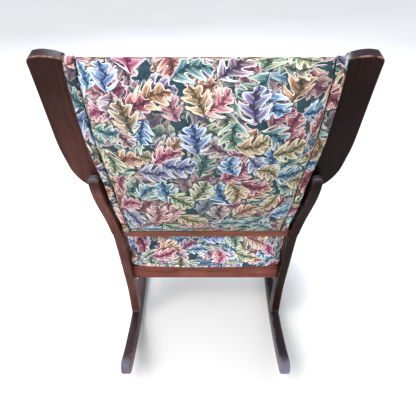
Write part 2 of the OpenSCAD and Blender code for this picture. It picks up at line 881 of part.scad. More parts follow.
// Seat cushion, stuffed over the rails and notched round the four posts.
// Its outline is drawn on the seat's slope, where y is 0 at the rear rail.
seat_rear_x = post_inner_x - soft_gap;
seat_side_x = seat_inner_x + rail_thickness * 0.9;
seat_corner = rail_thickness;
post_notch = -(post_depth - rear_rail_set) * 1.05;
seat_nose = -seat_slant - rail_thickness * 0.15;
nose_corner = rail_thickness * 1.4;
seat_front_x = front_post_inner_x - soft_gap;
front_notch = -(rail_y - front_foot_y - front_post_depth) / cos(seat_slope) + soft_gap;
function side_x(y) = seat_side_x - y * tan(runner_splay);
seat_half_outline = concat(
    [[seat_rear_x * 0.35, seat_overhang], [seat_rear_x * 0.7, seat_overhang]],
    arc([seat_rear_x - seat_corner, seat_overhang - seat_corner], seat_corner, 90, 0, 4),
    [for (k = [0 : 1]) [side_x(post_notch), post_notch - k * post_depth / 2]],
    [for (k = [1 : 4]) let (y = post_notch + (front_notch - post_notch) * k / 5) [side_x(y), y]],
    [[side_x(front_notch), front_notch], [seat_front_x, front_notch - front_post_depth / 3]],
    arc([seat_front_x - nose_corner, seat_nose + nose_corner], nose_corner, 0, -90, 4),
    [[seat_front_x * 0.6, seat_nose - rail_thickness / 6],
     [seat_front_x * 0.3, seat_nose - rail_thickness / 4]]);
seat_outline = concat(seat_half_outline, flipped(seat_half_outline));
seat_middle = [0, (seat_overhang + seat_nose) / 2];
seat_half = [seat_side_x, (seat_overhang - seat_nose) / 2];
// Shares of the edge's thickness and of the crown at each ring
seat_inset_shares = [0.1, 0.1, 0.03, 0, 0.04, 0.16, 0.34, 0.62, 1, 1.5, 2.1];
seat_lift_shares = [0, 0.16, 0.3, 0.55, 0.8, 1, 1, 1, 1, 1, 1];
seat_crown_shares = [0, 0, 0, 0, 0, 0, 0.24, 0.52, 0.78, 0.93, 1];
// Share of the swell by which each ring leans back over the rear rail
seat_lean_shares = [0, 0, 0.25, 0.6, 0.9, 1, 1, 1, 1, 1, 1];
seat_cushion_lift = burlap_lift + burlap_thickness + soft_gap / 2;

module seat_cushion() {
    difference() {
        on_seat(seat_cushion_lift)
            pad(seat_outline, seat_middle, seat_half,
                [for (s = seat_inset_shares) s * seat_edge],
                [for (i = [0 : len(seat_lift_shares) - 1])
                    seat_lift_shares[i] * seat_edge + seat_crown_shares[i] * seat_crown],
                [for (s = seat_lean_shares) s * seat_swell]);
        both_sides() {
            post_room();
            front_post_room();
        }
    }
}

// Strip of the same cloth that covers the tacks round the seat's lower edge
gimp_thickness = 2.4;
gimp_height = seat_edge * seat_lift_shares[1] - soft_gap;
gimp_inset = seat_edge * seat_inset_shares[0] - soft_gap / 2;
module gimp_outline(inset) {
    polygon([for (p = pad_ring(seat_outline, seat_middle, seat_half, inset, 0, 0)) [p[0], p[1]]]);
}

module seat_gimp() {
    difference() {
        on_seat(seat_cushion_lift)
            linear_extrude(height = gimp_height)
                difference() {
                    gimp_outline(gimp_inset - gimp_thickness);
                    gimp_outline(gimp_inset);
                }
        both_sides() {
            post_room();
            front_post_room();
        }
    }
}

// Back webbing, burlap and stuffed pads
burlap_forward = back_frame_thickness + 2 * web_thickness;
back_pad_forward = burlap_forward + burlap_thickness + soft_gap / 2;
pad_top = top_v(back_pad_forward) - top_drop;
back_webs = 3;
back_cross_webs = 5;
upright_foot = foot_rail_top - foot_rail_height / 2;
upright_top = pad_top - top_rail_height / 5;
module back_upright_straps() {
    step = 2 * stile_top_inner_x * 0.8 / back_webs;
    for (i = [0 : back_webs - 1])
        on_back(back_frame_thickness)
            translate([(i - (back_webs - 1) / 2) * step, (upright_foot + upright_top) / 2, 0])
                strap(upright_top - upright_foot);
}

module back_cross_straps() {
    span = top_rail_floor - foot_rail_top - web_width * 1.5;
    for (i = [0 : back_cross_webs - 1]) {
        v = foot_rail_top + web_width * 0.8 + span * i / (back_cross_webs - 1);
        on_back(back_frame_thickness + web_thickness)
            translate([0, v, 0])
                rotate(90)
                    strap(2 * (wing_base_x(v) - stile_inset - stile_width / 2));
    }
}

function closed_side(inset, top) = concat(
    [for (p = back_side(inset)) if (p[1] < top) p],
    [[wing_base_x(top) - inset - wing_gap, top]]);
function back_outline(inset, top) = concat(closed_side(inset, top),
                                           flipped(closed_side(inset, top)));

module back_cloth(forward, thickness) {
    on_back(forward)
        linear_extrude(height = thickness)
            polygon(back_outline(stile_inset + soft_gap, pad_top - soft_gap));
}

back_pad_outline = let (
    side = closed_side(stile_inset, pad_top),
    top_x = side[len(side) - 1][0],
    across = [for (k = [3 : -1 : -3]) k / 4])
    concat(side, [for (k = across) [top_x * k, pad_top]], flipped(side),
           [for (k = across) [-side[0][0] * k, foot_rail_top]]);
back_middle = [0, (foot_rail_top + pad_top) / 2];
back_half = [back_width / 2, (pad_top - foot_rail_top) / 2];
back_inset_shares = [0.1, 0, 0.03, 0.2, 0.55, 1.1, 2, 3.2, 4.6];
back_lift_shares = [0, 0.35, 0.75, 1, 1, 1, 1, 1, 1];
back_crown_shares = [0, 0, 0, 0, 0.22, 0.48, 0.76, 0.93, 1];
back_pad_heights = [for (i = [0 : len(back_lift_shares) - 1])
    back_lift_shares[i] * back_edge + back_crown_shares[i] * back_crown];

module inside_back_cushion() {
    on_back(back_pad_forward)
        pad(back_pad_outline, back_middle, back_half,
            [for (s = back_inset_shares) s * back_edge],
            back_pad_heights,
            [for (h = back_pad_heights) -h * tan(back_top_slope)]);
}

// Outside back, drawn between the bands and crowned to the rear
outside_foot_inset = band_foot_width + soft_gap;
function outside_side() = tapered_side(outside_foot_inset, band_top_width + soft_gap);
function outside_outline(top) = let (
    points = outside_side(),
    top_x = lookup(top, [for (p = points) [p[1], p[0]]]),
    side = concat([for (p = points) if (p[1] < top) p], [[top_x, top]]),
    across = [for (k = [3 : -1 : -3]) k / 4])
    concat(side, [for (k = across) [top_x * k, top]], flipped(side),
           [for (k = across) [-side[0][0] * k, foot_rail_top]]);
outside_middle = [0, (foot_rail_top + back_height) / 2];
outside_half = [back_width / 2, (back_height - foot_rail_top) / 2];
outside_inset_shares = [0, 0, 0.3, 1, 3, 6, 10, 15];
outside_lift_shares = [0, 0.7, 1, 1, 1, 1, 1, 1];
outside_crown_shares = [0, 0, 0, 0.14, 0.42, 0.7, 0.9, 1];

module outside_back_panel() {
    on_back(-soft_gap / 2 - lining_thickness)
        mirror([0, 0, 1])
            pad(outside_outline(top_v(-outside_edge)), outside_middle, outside_half,
                [for (s = outside_inset_shares) s * outside_edge],
                [for (i = [0 : len(outside_lift_shares) - 1])
                    outside_lift_shares[i] * (outside_edge - lining_thickness)
                    + outside_crown_shares[i] * outside_crown],
                [for (s = outside_inset_shares) 0]);
}

lining_thickness = 1;
module outside_back_lining() {
    on_back(-lining_thickness)
        linear_extrude(height = lining_thickness)
            polygon(outside_outline(top_v(0) - soft_gap));
}

// Bands of cloth over the sides and the top of the back frame
band_front = back_pad_forward + back_edge * 0.8;
// The rounded end of a band, hanging over the foot rail
module band_foot() {
    radius = band_foot_width / 2;
    polygon(concat([[back_foot_x, foot_rail_top + radius]],
                   arc([back_foot_x - radius, foot_rail_top - band_foot_drop + radius],
                       radius, 0, -180),
                   [[back_foot_x - band_foot_width, foot_rail_top + radius]]));
}

module side_band() {
    difference() {
        on_back(-outside_edge) {
            linear_extrude(height = outside_edge + band_front)
                polygon(concat(back_side(band_thickness), backward(back_side(0))));
            linear_extrude(height = outside_edge)
                polygon(concat(tapered_side(band_foot_width, band_top_width),
                               backward(back_side(band_thickness / 2))));
            linear_extrude(height = outside_edge - foot_rail_proud - soft_gap)
                band_foot();
        }
        above_top(-corner_rise);
        wing_pins(fastener_gap);
        post_blank();
    }
}

module top_band() {
    rear = soft_gap / 2;
    intersection() {
        on_back()
            rotate([0, -90, 0])
                linear_extrude(height = back_width, center = true)
                    polygon([[rear, top_v(rear)], [band_front, top_v(band_front)],
                             [band_front, top_v(band_front) - band_slant],
                             [rear, top_v(rear) - band_slant]]);
        on_back()
            linear_extrude(height = band_front * 2)
                polygon(back_outline(band_thickness + soft_gap, back_height - corner_rise));
    }
}

color(dark_wood) runner();  // left_runner
color(dark_wood) mirrored() runner();  // right_runner
color(dark_wood) rear_post();  // left_rear_post
color(dark_wood) mirrored() rear_post();  // right_rear_post
color(dark_wood) front_post();  // left_front_post
color(dark_wood) mirrored() front_post();  // right_front_post
color(dark_wood) arm();  // left_arm
color(dark_wood) mirrored() arm();  // right_arm
color(dark_wood) wing();  // left_wing
color(dark_wood) mirrored() wing();  // right_wing
color(dark_wood) pinned_rail(true);  // seat_rear_rail
color(dark_wood) pinned_rail(false);  // seat_front_rail
color(dark_wood) side_rail();  // left_seat_rail
color(dark_wood) mirrored() side_rail();  // right_seat_rail
color(pale_wood) corner_blocks();  // seat_corner_blocks
color(pale_wood) stile();  // back_left_stile
color(pale_wood) mirrored() stile();  // back_right_stile
color(pale_wood) top_rail();  // back_top_rail
color(red_wood) foot_rail();  // back_foot_rail
color(pale_wood) both_sides() foot_pins(0);  // foot_dowels
color(pale_wood) both_sides() seat_rail_pins(0);  // seat_rail_dowels
color(pale_wood) both_sides() back_pins();  // back_dowels
color(pale_wood) both_sides() arm_pins();  // arm_dowels
color(steel) both_sides() block_screws(0);  // corner_block_screws
color(steel) both_sides() wing_pins(0);  // wing_screws
color(steel) both_sides() wing_lap_pins(0);  // wing_lap_screws
color(jute) seat_long_straps();  // seat_webbing_lengthwise
color(jute) seat_cross_straps();  // seat_webbing_crosswise
color(steel) springs();  // seat_springs
color(sackcloth) seat_sheet(burlap_lift,  // seat_burlap
    burlap_thickness, rail_thickness * 0.5);
color(print_cloth) seat_cushion();
color(print_edge) seat_gimp();
color(black_cloth) seat_sheet(  // dust_cover
    web_floor - 3 * web_thickness, web_thickness / 2, rail_thickness * 0.4);
color(jute) back_upright_straps();  // back_webbing_upright
color(jute) back_cross_straps();  // back_webbing_crosswise
color(sackcloth) back_cloth(burlap_forward,  // back_burlap
    burlap_thickness);
color(print_cloth) inside_back_cushion();
color(print_cloth) outside_back_panel();
color(sackcloth) outside_back_lining();
color(print_edge) side_band();  // left_back_band
color(print_edge) mirrored() side_band();  // right_back_band
color(print_edge) top_band();  // top_back_band

module back_pins() {
    back_rail_pin(0);
    stile_foot_pin(0);
    top_rail_pin(0);
}

module arm_pins() {
    arm_rear_pin(0);
    arm_front_pin(0);
}
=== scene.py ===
"""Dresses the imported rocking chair: waxed mahogany, printed cloth on stuffed pads,
webbing and springs, a pale floor, soft light and the photograph's camera."""
import math

import bmesh
import bpy
import numpy as np
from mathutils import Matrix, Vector
from mathutils.bvhtree import BVHTree


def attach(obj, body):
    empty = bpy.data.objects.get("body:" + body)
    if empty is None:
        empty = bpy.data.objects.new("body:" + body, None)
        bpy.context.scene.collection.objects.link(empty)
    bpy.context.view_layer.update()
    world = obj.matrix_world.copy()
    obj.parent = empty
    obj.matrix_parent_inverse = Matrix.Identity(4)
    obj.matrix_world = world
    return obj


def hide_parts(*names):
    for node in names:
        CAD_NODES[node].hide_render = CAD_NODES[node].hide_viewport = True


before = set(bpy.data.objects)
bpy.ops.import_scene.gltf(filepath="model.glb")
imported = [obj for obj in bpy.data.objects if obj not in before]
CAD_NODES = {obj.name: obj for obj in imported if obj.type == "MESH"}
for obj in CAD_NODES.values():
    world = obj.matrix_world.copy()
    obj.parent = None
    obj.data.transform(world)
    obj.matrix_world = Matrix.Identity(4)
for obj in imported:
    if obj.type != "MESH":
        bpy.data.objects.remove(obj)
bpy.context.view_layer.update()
MM = 0.001

# Places that the CAD source settles, in metres. The chair faces -Y.
REAR_FOOT_Y = 0.1425
BACK_LEAN = math.radians(13.4)
BACK_ORIGIN = Vector((0, 0.1825, 0.447))
SEAT_SLOPE = math.radians(7.4)
SEAT_ORIGIN = Vector((0, 0.1325, 0.262))
BACK_UP = Vector((0, math.sin(BACK_LEAN), math.cos(BACK_LEAN)))
BACK_FORWARD = Vector((0, -math.cos(BACK_LEAN), math.sin(BACK_LEAN)))
SEAT_REAR = Vector((0, math.cos(SEAT_SLOPE), -math.sin(SEAT_SLOPE)))
SEAT_UP = Vector((0, math.sin(SEAT_SLOPE), math.cos(SEAT_SLOPE)))
ACROSS = Vector((1, 0, 0))

# The photograph's camera
IMAGE_PX = 416
FOCAL_PX = 417
CENTRE_PX = 205.5
SENSOR_MM = 36
CAMERA_BEHIND_FOOT = 0.8753
CAMERA_HEIGHT = 1.178
CAMERA_PITCH = math.radians(38)


def linked(name, data):
    """A new object in the scene."""
    made = bpy.data.objects.new(name, data)
    bpy.context.collection.objects.link(made)
    return made


def make_camera():
    data = bpy.data.cameras.new("camera")
    data.sensor_width = SENSOR_MM
    data.lens = FOCAL_PX * SENSOR_MM / IMAGE_PX
    data.shift_x = (IMAGE_PX / 2 - CENTRE_PX) / IMAGE_PX
    data.clip_start = 0.01
    camera = linked("camera", data)
    camera.location = (0, REAR_FOOT_Y + CAMERA_BEHIND_FOOT, CAMERA_HEIGHT)
    camera.rotation_euler = (math.pi / 2 - CAMERA_PITCH, 0, math.pi)
    bpy.context.scene.camera = camera


make_camera()


# Shader nodes

def srgb(r, g, b):
    """A colour as seen on a screen, 0 to 255, as the linear values that Blender wants."""
    def linear(c):
        c /= 255
        return c / 12.92 if c <= 0.04045 else ((c + 0.055) / 1.055) ** 2.4
    return (linear(r), linear(g), linear(b), 1)


class Graph:
    """Adds nodes to a tree and joins them. An input is a socket or a value."""

    def __init__(self, tree):
        self.tree = tree

    def put(self, node, name, value):
        if isinstance(value, bpy.types.NodeSocket):
            self.tree.links.new(value, node.inputs[name])
        else:
            node.inputs[name].default_value = value

    def node(self, kind, inputs=None, **settings):
        made = self.tree.nodes.new(kind)
        for key, value in settings.items():
            setattr(made, key, value)
        for name, value in (inputs or {}).items():
            self.put(made, name, value)
        return made

    def math(self, operation, *values, clamp=False):
        made = self.node("ShaderNodeMath", operation=operation, use_clamp=clamp)
        for i, value in enumerate(values):
            self.put(made, i, value)
        return made.outputs[0]

    def vector(self, operation, *values):
        made = self.node("ShaderNodeVectorMath", operation=operation)
        for i, value in enumerate(values):
            self.put(made, "Scale" if operation == "SCALE" and i == 1 else i, value)
        return made.outputs["Value" if operation in ("LENGTH", "DOT_PRODUCT") else "Vector"]

    def split(self, vector):
        made = self.node("ShaderNodeSeparateXYZ", {"Vector": vector})
        return made.outputs[0], made.outputs[1], made.outputs[2]

    def join(self, x, y, z=0.0):
        return self.node("ShaderNodeCombineXYZ", {"X": x, "Y": y, "Z": z}).outputs[0]

    def attribute(self, name, output="Fac"):
        return self.node("ShaderNodeAttribute", attribute_name=name).outputs[output]

    def step(self, value, low, high):
        """A smooth step from 0 to 1 as value goes from low to high."""
        made = self.node("ShaderNodeMapRange", {
            "Value": value, "From Min": low, "From Max": high},
            interpolation_type="SMOOTHSTEP")
        return made.outputs[0]

    def noise(self, vector, scale, detail=2.0, rough=0.5, colour=False):
        made = self.node("ShaderNodeTexNoise", {
            "Vector": vector, "Scale": scale, "Detail": detail, "Roughness": rough})
        return made.outputs["Color" if colour else "Fac"]

    def mix(self, share, a, b, blend="MIX"):
        made = self.node("ShaderNodeMix", data_type="RGBA", blend_type=blend)
        self.put(made, 0, share)
        self.put(made, 6, a)
        self.put(made, 7, b)
        return made.outputs[2]

    def ramp(self, share, stops):
        made = self.node("ShaderNodeValToRGB", {"Fac": share})
        ramp = made.color_ramp
        while len(ramp.elements) < len(stops):
            ramp.elements.new(0.5)
        for element, (place, colour) in zip(ramp.elements, stops):
            element.position = place
            element.color = colour
        return made.outputs["Color"]

    def bump(self, height, strength, distance, normal=None):
        made = self.node("ShaderNodeBump", {
            "Height": height, "Strength": strength, "Distance": distance})
        if normal is not None:
            self.put(made, "Normal", normal)
        return made.outputs[0]


def material(name):
    made = bpy.data.materials.new(name)
    made.use_nodes = True
    graph = Graph(made.node_tree)
    shader = made.node_tree.nodes["Principled BSDF"]
    return made, graph, shader


# Woods. The attribute "grain" holds metres along, across and through each board, and
# "board" says how far a board goes from the deep tones to the pale ones, partly its own tone
# and partly painted light and shade. The wear attribute says how far an edge is rubbed, and
# its worn colour is also a painted highlight on the edges. Faces that look up get a painted
# greyish-blue highlight, partly dust, and the scuff attribute adds painted highlights, partly
# scuffs.

# The greyish blue of the painted highlight on faces that look up, partly dust
PAINTED_SHEEN_AND_DUST = srgb(150, 150, 172)
# Waves per metre along, across and through a board
SWAY_WAVES = (2.2, 9.0, 1.0)
STREAK_WAVES = (7.0, 260.0, 260.0)
PORE_WAVES = (70.0, 1500.0, 1500.0)
CLOUD_WAVES = 11.0
PATCH_WAVES = 7.0
# Growth rings per metre across and through a board, and how many their sway takes in
RINGS_ACROSS, RINGS_THROUGH, RINGS_SWAYED = 55.0, 20.0, 9.0
# Parts of the tone, and where its deep, middle and light stops lie
STREAK_SHARE, RING_SHARE, CLOUD_SHARE = 0.46, 0.42, 0.48
CLOUD_BASE = 0.22
TONE_STOPS = (0.22, 0.48, 0.78)
PORE_DEPTH = 0.25


def wood(name, deep, pale, worn_and_sheen, roughness, shine, wear_and_sheen_share=0.8, painted_sheen_and_dust_share=0.0):
    """A wood from its tones: three deep ones, three pale ones and that of worn edges, which also
    paints a highlight on them.
    """
    made, g, shader = material(name)
    grain = g.attribute("grain", "Vector")
    wear_and_sheen = g.attribute("wear_and_sheen")
    board = g.attribute("board")
    directions = g.split(grain)

    def scaled(waves):
        """The grain's place, in waves along, across and through the board."""
        return g.join(*(g.math("MULTIPLY", *pair) for pair in zip(directions, waves)))

    sway = g.noise(scaled(SWAY_WAVES), 1.0)
    rings_at = g.math("ADD", g.math("MULTIPLY", directions[1], RINGS_ACROSS),
                      g.math("MULTIPLY", sway, RINGS_SWAYED))
    rings = g.math("FRACT", g.math("ADD", rings_at,
                                   g.math("MULTIPLY", directions[2], RINGS_THROUGH)))
    rings = g.math("MULTIPLY", g.math("SUBTRACT", 1.0, rings), rings)
    streaks = g.noise(scaled(STREAK_WAVES), 1.0, 5.0, 0.6)
    pores = g.noise(scaled(PORE_WAVES), 1.0, 2.0, 0.6)
    cloud = g.noise(grain, CLOUD_WAVES, 3.0, 0.6)
    tone = g.math("ADD", g.math("MULTIPLY", streaks, STREAK_SHARE),
                  g.math("MULTIPLY", rings, RING_SHARE))
    tone = g.math("ADD", tone, g.math("MULTIPLY", g.math("SUBTRACT", cloud, CLOUD_BASE),
                                      CLOUD_SHARE))
    deep_tone, pale_tone = (g.ramp(tone, list(zip(TONE_STOPS, tones)))
                            for tones in (deep, pale))
    patchy = g.noise(grain, PATCH_WAVES, 3.0)
    # How far toward the pale tones: the board's own tone together with its painted light and
    # shade
    fade = g.math("MULTIPLY", board, g.math("ADD", patchy, 0.5), clamp=True)
    colour = g.mix(fade, deep_tone, pale_tone)
    pit = g.step(pores, 0.6, 0.72)
    colour = g.mix(g.math("MULTIPLY", pit, 0.5), colour, deep[0])
    # Rubbed edges take the worn colour: wear, and also a painted highlight on the edges
    rub_and_sheen = g.math("MULTIPLY", wear_and_sheen, g.step(g.noise(grain, 55.0, 4.0, 0.65), 0.36, 0.62))
    rub_and_sheen = g.math("MULTIPLY", rub_and_sheen, wear_and_sheen_share, clamp=True)
    # Faces that look up get a painted greyish-blue highlight, partly dust, and the scuffed
    # places add more
    up = g.split(g.node("ShaderNodeNewGeometry").outputs["Normal"])[2]
    scuff_and_sheen = g.attribute("scuff_and_sheen")
    painted_sheen_and_dust = g.math("ADD", g.math("MULTIPLY", g.step(up, 0.5, 0.95), painted_sheen_and_dust_share), scuff_and_sheen)
    painted_sheen_and_dust = g.math("MULTIPLY", painted_sheen_and_dust, g.math("ADD", g.noise(grain, 30.0, 3.0), 0.5), clamp=True)
    colour = g.mix(painted_sheen_and_dust, colour, PAINTED_SHEEN_AND_DUST)
    colour = g.mix(rub_and_sheen, colour, worn_and_sheen)
    g.put(shader, "Base Color", colour)
    uneven = g.noise(grain, 26.0, 4.0, 0.6)
    rough = g.math("ADD", roughness, g.math("MULTIPLY", g.math("SUBTRACT", uneven, 0.5), 0.3))
    rough = g.math("ADD", rough, g.math("MULTIPLY", rub_and_sheen, 0.18), clamp=True)
    g.put(shader, "Roughness", rough)
    shader.inputs["Specular IOR Level"].default_value = shine
    hand = g.bump(g.noise(grain, 34.0, 2.0), 0.12, 0.002)
    g.put(shader, "Normal", g.bump(g.math("MULTIPLY", pores, -1.0), PORE_DEPTH, 0.0004, hand))
    return made


# Mahogany's faces that look up get a faint painted highlight, partly dust
MAHOGANY = wood("mahogany", (srgb(11, 5, 5), srgb(24, 11, 10), srgb(42, 21, 18)),
                (srgb(84, 38, 32), srgb(130, 76, 66), srgb(164, 106, 92)),
                srgb(182, 140, 122), 0.36, 0.07, painted_sheen_and_dust_share=0.045)
FOOT_RAIL_WOOD = wood("foot_rail_wood", (srgb(40, 18, 12), srgb(70, 34, 22), srgb(100, 54, 34)),
                      (srgb(84, 40, 28), srgb(136, 74, 50), srgb(170, 102, 70)),
                      srgb(186, 124, 90), 0.42, 0.2)
RAW_WOOD = (srgb(150, 116, 78), srgb(186, 150, 106), srgb(206, 174, 130))
FRAME_WOOD = wood("frame_wood", (srgb(34, 22, 14), srgb(52, 36, 24), srgb(70, 50, 34)),
                  RAW_WOOD, srgb(210, 182, 140), 0.7, 0.3, 0.3)
DOWEL_WOOD = wood("dowel_wood", RAW_WOOD, (srgb(164, 128, 86), srgb(196, 162, 116),
                                           srgb(214, 184, 140)),
                  srgb(214, 184, 140), 0.65, 0.3, 0.2)
# How far each board goes from the deep tones to the pale ones, at shares of its height:
# partly the wood's own tone, partly painted light and shade. The left side is painted lit
# and the right side painted in shade, and the wings' and posts' painted light changes along
# their height.
BOARD_TONES_AND_PAINTED_LIGHT = {
    "left_wing": ((0, 0.2, 0.42, 1), (0.5, 0.36, 0.13, 0.08)),
    "right_wing": ((0, 0.8, 1), (0, 0.01, 0.05)),
    "left_rear_post": ((0, 0.9, 0.95, 1), (0.42, 0.5, 0.26, 0.1)),
    "right_rear_post": ((0, 0.3, 1), (0.08, 0.03, 0.02)),
    "left_runner": ((0, 1), (0.12, 0.18)), "right_runner": ((0, 1), (0.0, 0.04)),
    "left_front_post": ((0, 1), (0.3, 0.26)), "right_front_post": ((0, 1), (0.14, 0.1)),
    "left_arm": ((0, 1), (0.3, 0.3)), "right_arm": ((0, 1), (0.14, 0.14)),
    "seat_rear_rail": ((0, 1), (0.92, 1.0)), "back_foot_rail": ((0, 1), (0.62, 0.62)),
    # The back's stiles are all deep tone, painted shade for the seams between the outside back
    # and its bands
    "back_left_stile": ((0, 1), (0, 0)), "back_right_stile": ((0, 1), (0, 0)),
    "back_top_rail": ((0, 1), (0.1, 0.1)), "seat_corner_blocks": ((0, 1), (0.9, 0.9)),
}
COMMON_BOARD = ((0, 1), (0.3, 0.3))
# Painted highlights, partly scuffs, at the posts' two ends, fading out at these shares of
# their height, and at the runners' rear tips, growing from the first to the second place
# along y
POST_SCUFF_AND_SHEEN = {"left_rear_post": 0.3, "right_rear_post": 0.14}
POST_ENDS = ((0, 0.035, 0.98, 1), (1, 0, 0, 1))
TIP_SCUFF_AND_SHEEN = {"left_runner": 0.38, "right_runner": 0.6}
TIP_Y = (0.335, 0.372)


# Cloth. The attribute "cloth" holds metres along the weave's two directions and, for the
# printed cloth, painted light: above zero it makes the cloth brighter and bluer, below zero
# darker.

WARP_PITCH = 0.0013
WEFT_PITCH = 0.0009
LEAF_CELL = 0.076
# In cells, the room in which a leaf's middle may stray, and how far its outline wavers
STRAY = 0.16
WAVER = 0.07
# A leaf's most bend and half its width, in shares of its length. Its lobes on each side,
# how far the two sides are out of step, in half lobes, and the fine ribs in a lobe
BEND = 1.9
HALF_WIDTH = 0.43
LOBES = 3.0
LOBE_SHIFT = 0.17
RIBS_IN_LOBE = 5
# How far out the leaf reaches over the width of a lobe, and over its own length
LOBE_CURVE = [
    (0.07, 0.06), (0.14, 0.4), (0.21, 0.84), (0.27, 0.72), (0.36, 1.0), (0.43, 0.84),
    (0.52, 1.0), (0.6, 0.78), (0.68, 0.86), (0.76, 0.55), (0.86, 0.24), (0.94, 0.05)]
LEAF_CURVE = [
    (0.06, 0.3), (0.2, 0.72), (0.4, 0.98), (0.6, 1.0), (0.78, 0.84), (0.9, 0.5),
    (0.96, 0.24)]
# Tones of a leaf at its veins, in its body and at its tips
LEAF_TONES = [
    (srgb(30, 56, 76), srgb(86, 126, 146), srgb(180, 210, 218)),
    (srgb(46, 70, 60), srgb(116, 140, 118), srgb(206, 214, 176)),
    (srgb(80, 74, 50), srgb(148, 140, 106), srgb(222, 212, 174)),
    (srgb(98, 62, 48), srgb(168, 124, 100), srgb(230, 204, 176)),
    (srgb(80, 34, 48), srgb(132, 72, 80), srgb(212, 164, 160)),
    (srgb(94, 34, 62), srgb(164, 94, 114), srgb(232, 190, 196)),
    (srgb(118, 64, 76), srgb(194, 138, 142), srgb(240, 208, 198)),
    (srgb(62, 48, 56), srgb(134, 112, 116), srgb(212, 194, 186)),
    (srgb(50, 54, 90), srgb(118, 126, 160), srgb(200, 206, 228)),
    (srgb(34, 64, 98), srgb(104, 142, 172), srgb(202, 224, 238)),
    (srgb(34, 62, 62), srgb(86, 118, 110), srgb(180, 202, 180)),
    (srgb(74, 56, 34), srgb(146, 106, 78), srgb(226, 190, 148)),
]
GROUND = srgb(50, 78, 84)
GROUND_DEEP = srgb(24, 42, 48)
LEAF_EDGE = srgb(250, 244, 226)


def float_curve(g, value, ends, points):
    made = g.node("ShaderNodeFloatCurve", {"Value": value})
    curve = made.mapping.curves[0]
    curve.points[0].location = (0, ends[0])
    curve.points[1].location = (1, ends[1])
    for x, y in points:
        curve.points.new(x, y)
    made.mapping.update()
    return made.outputs[0]


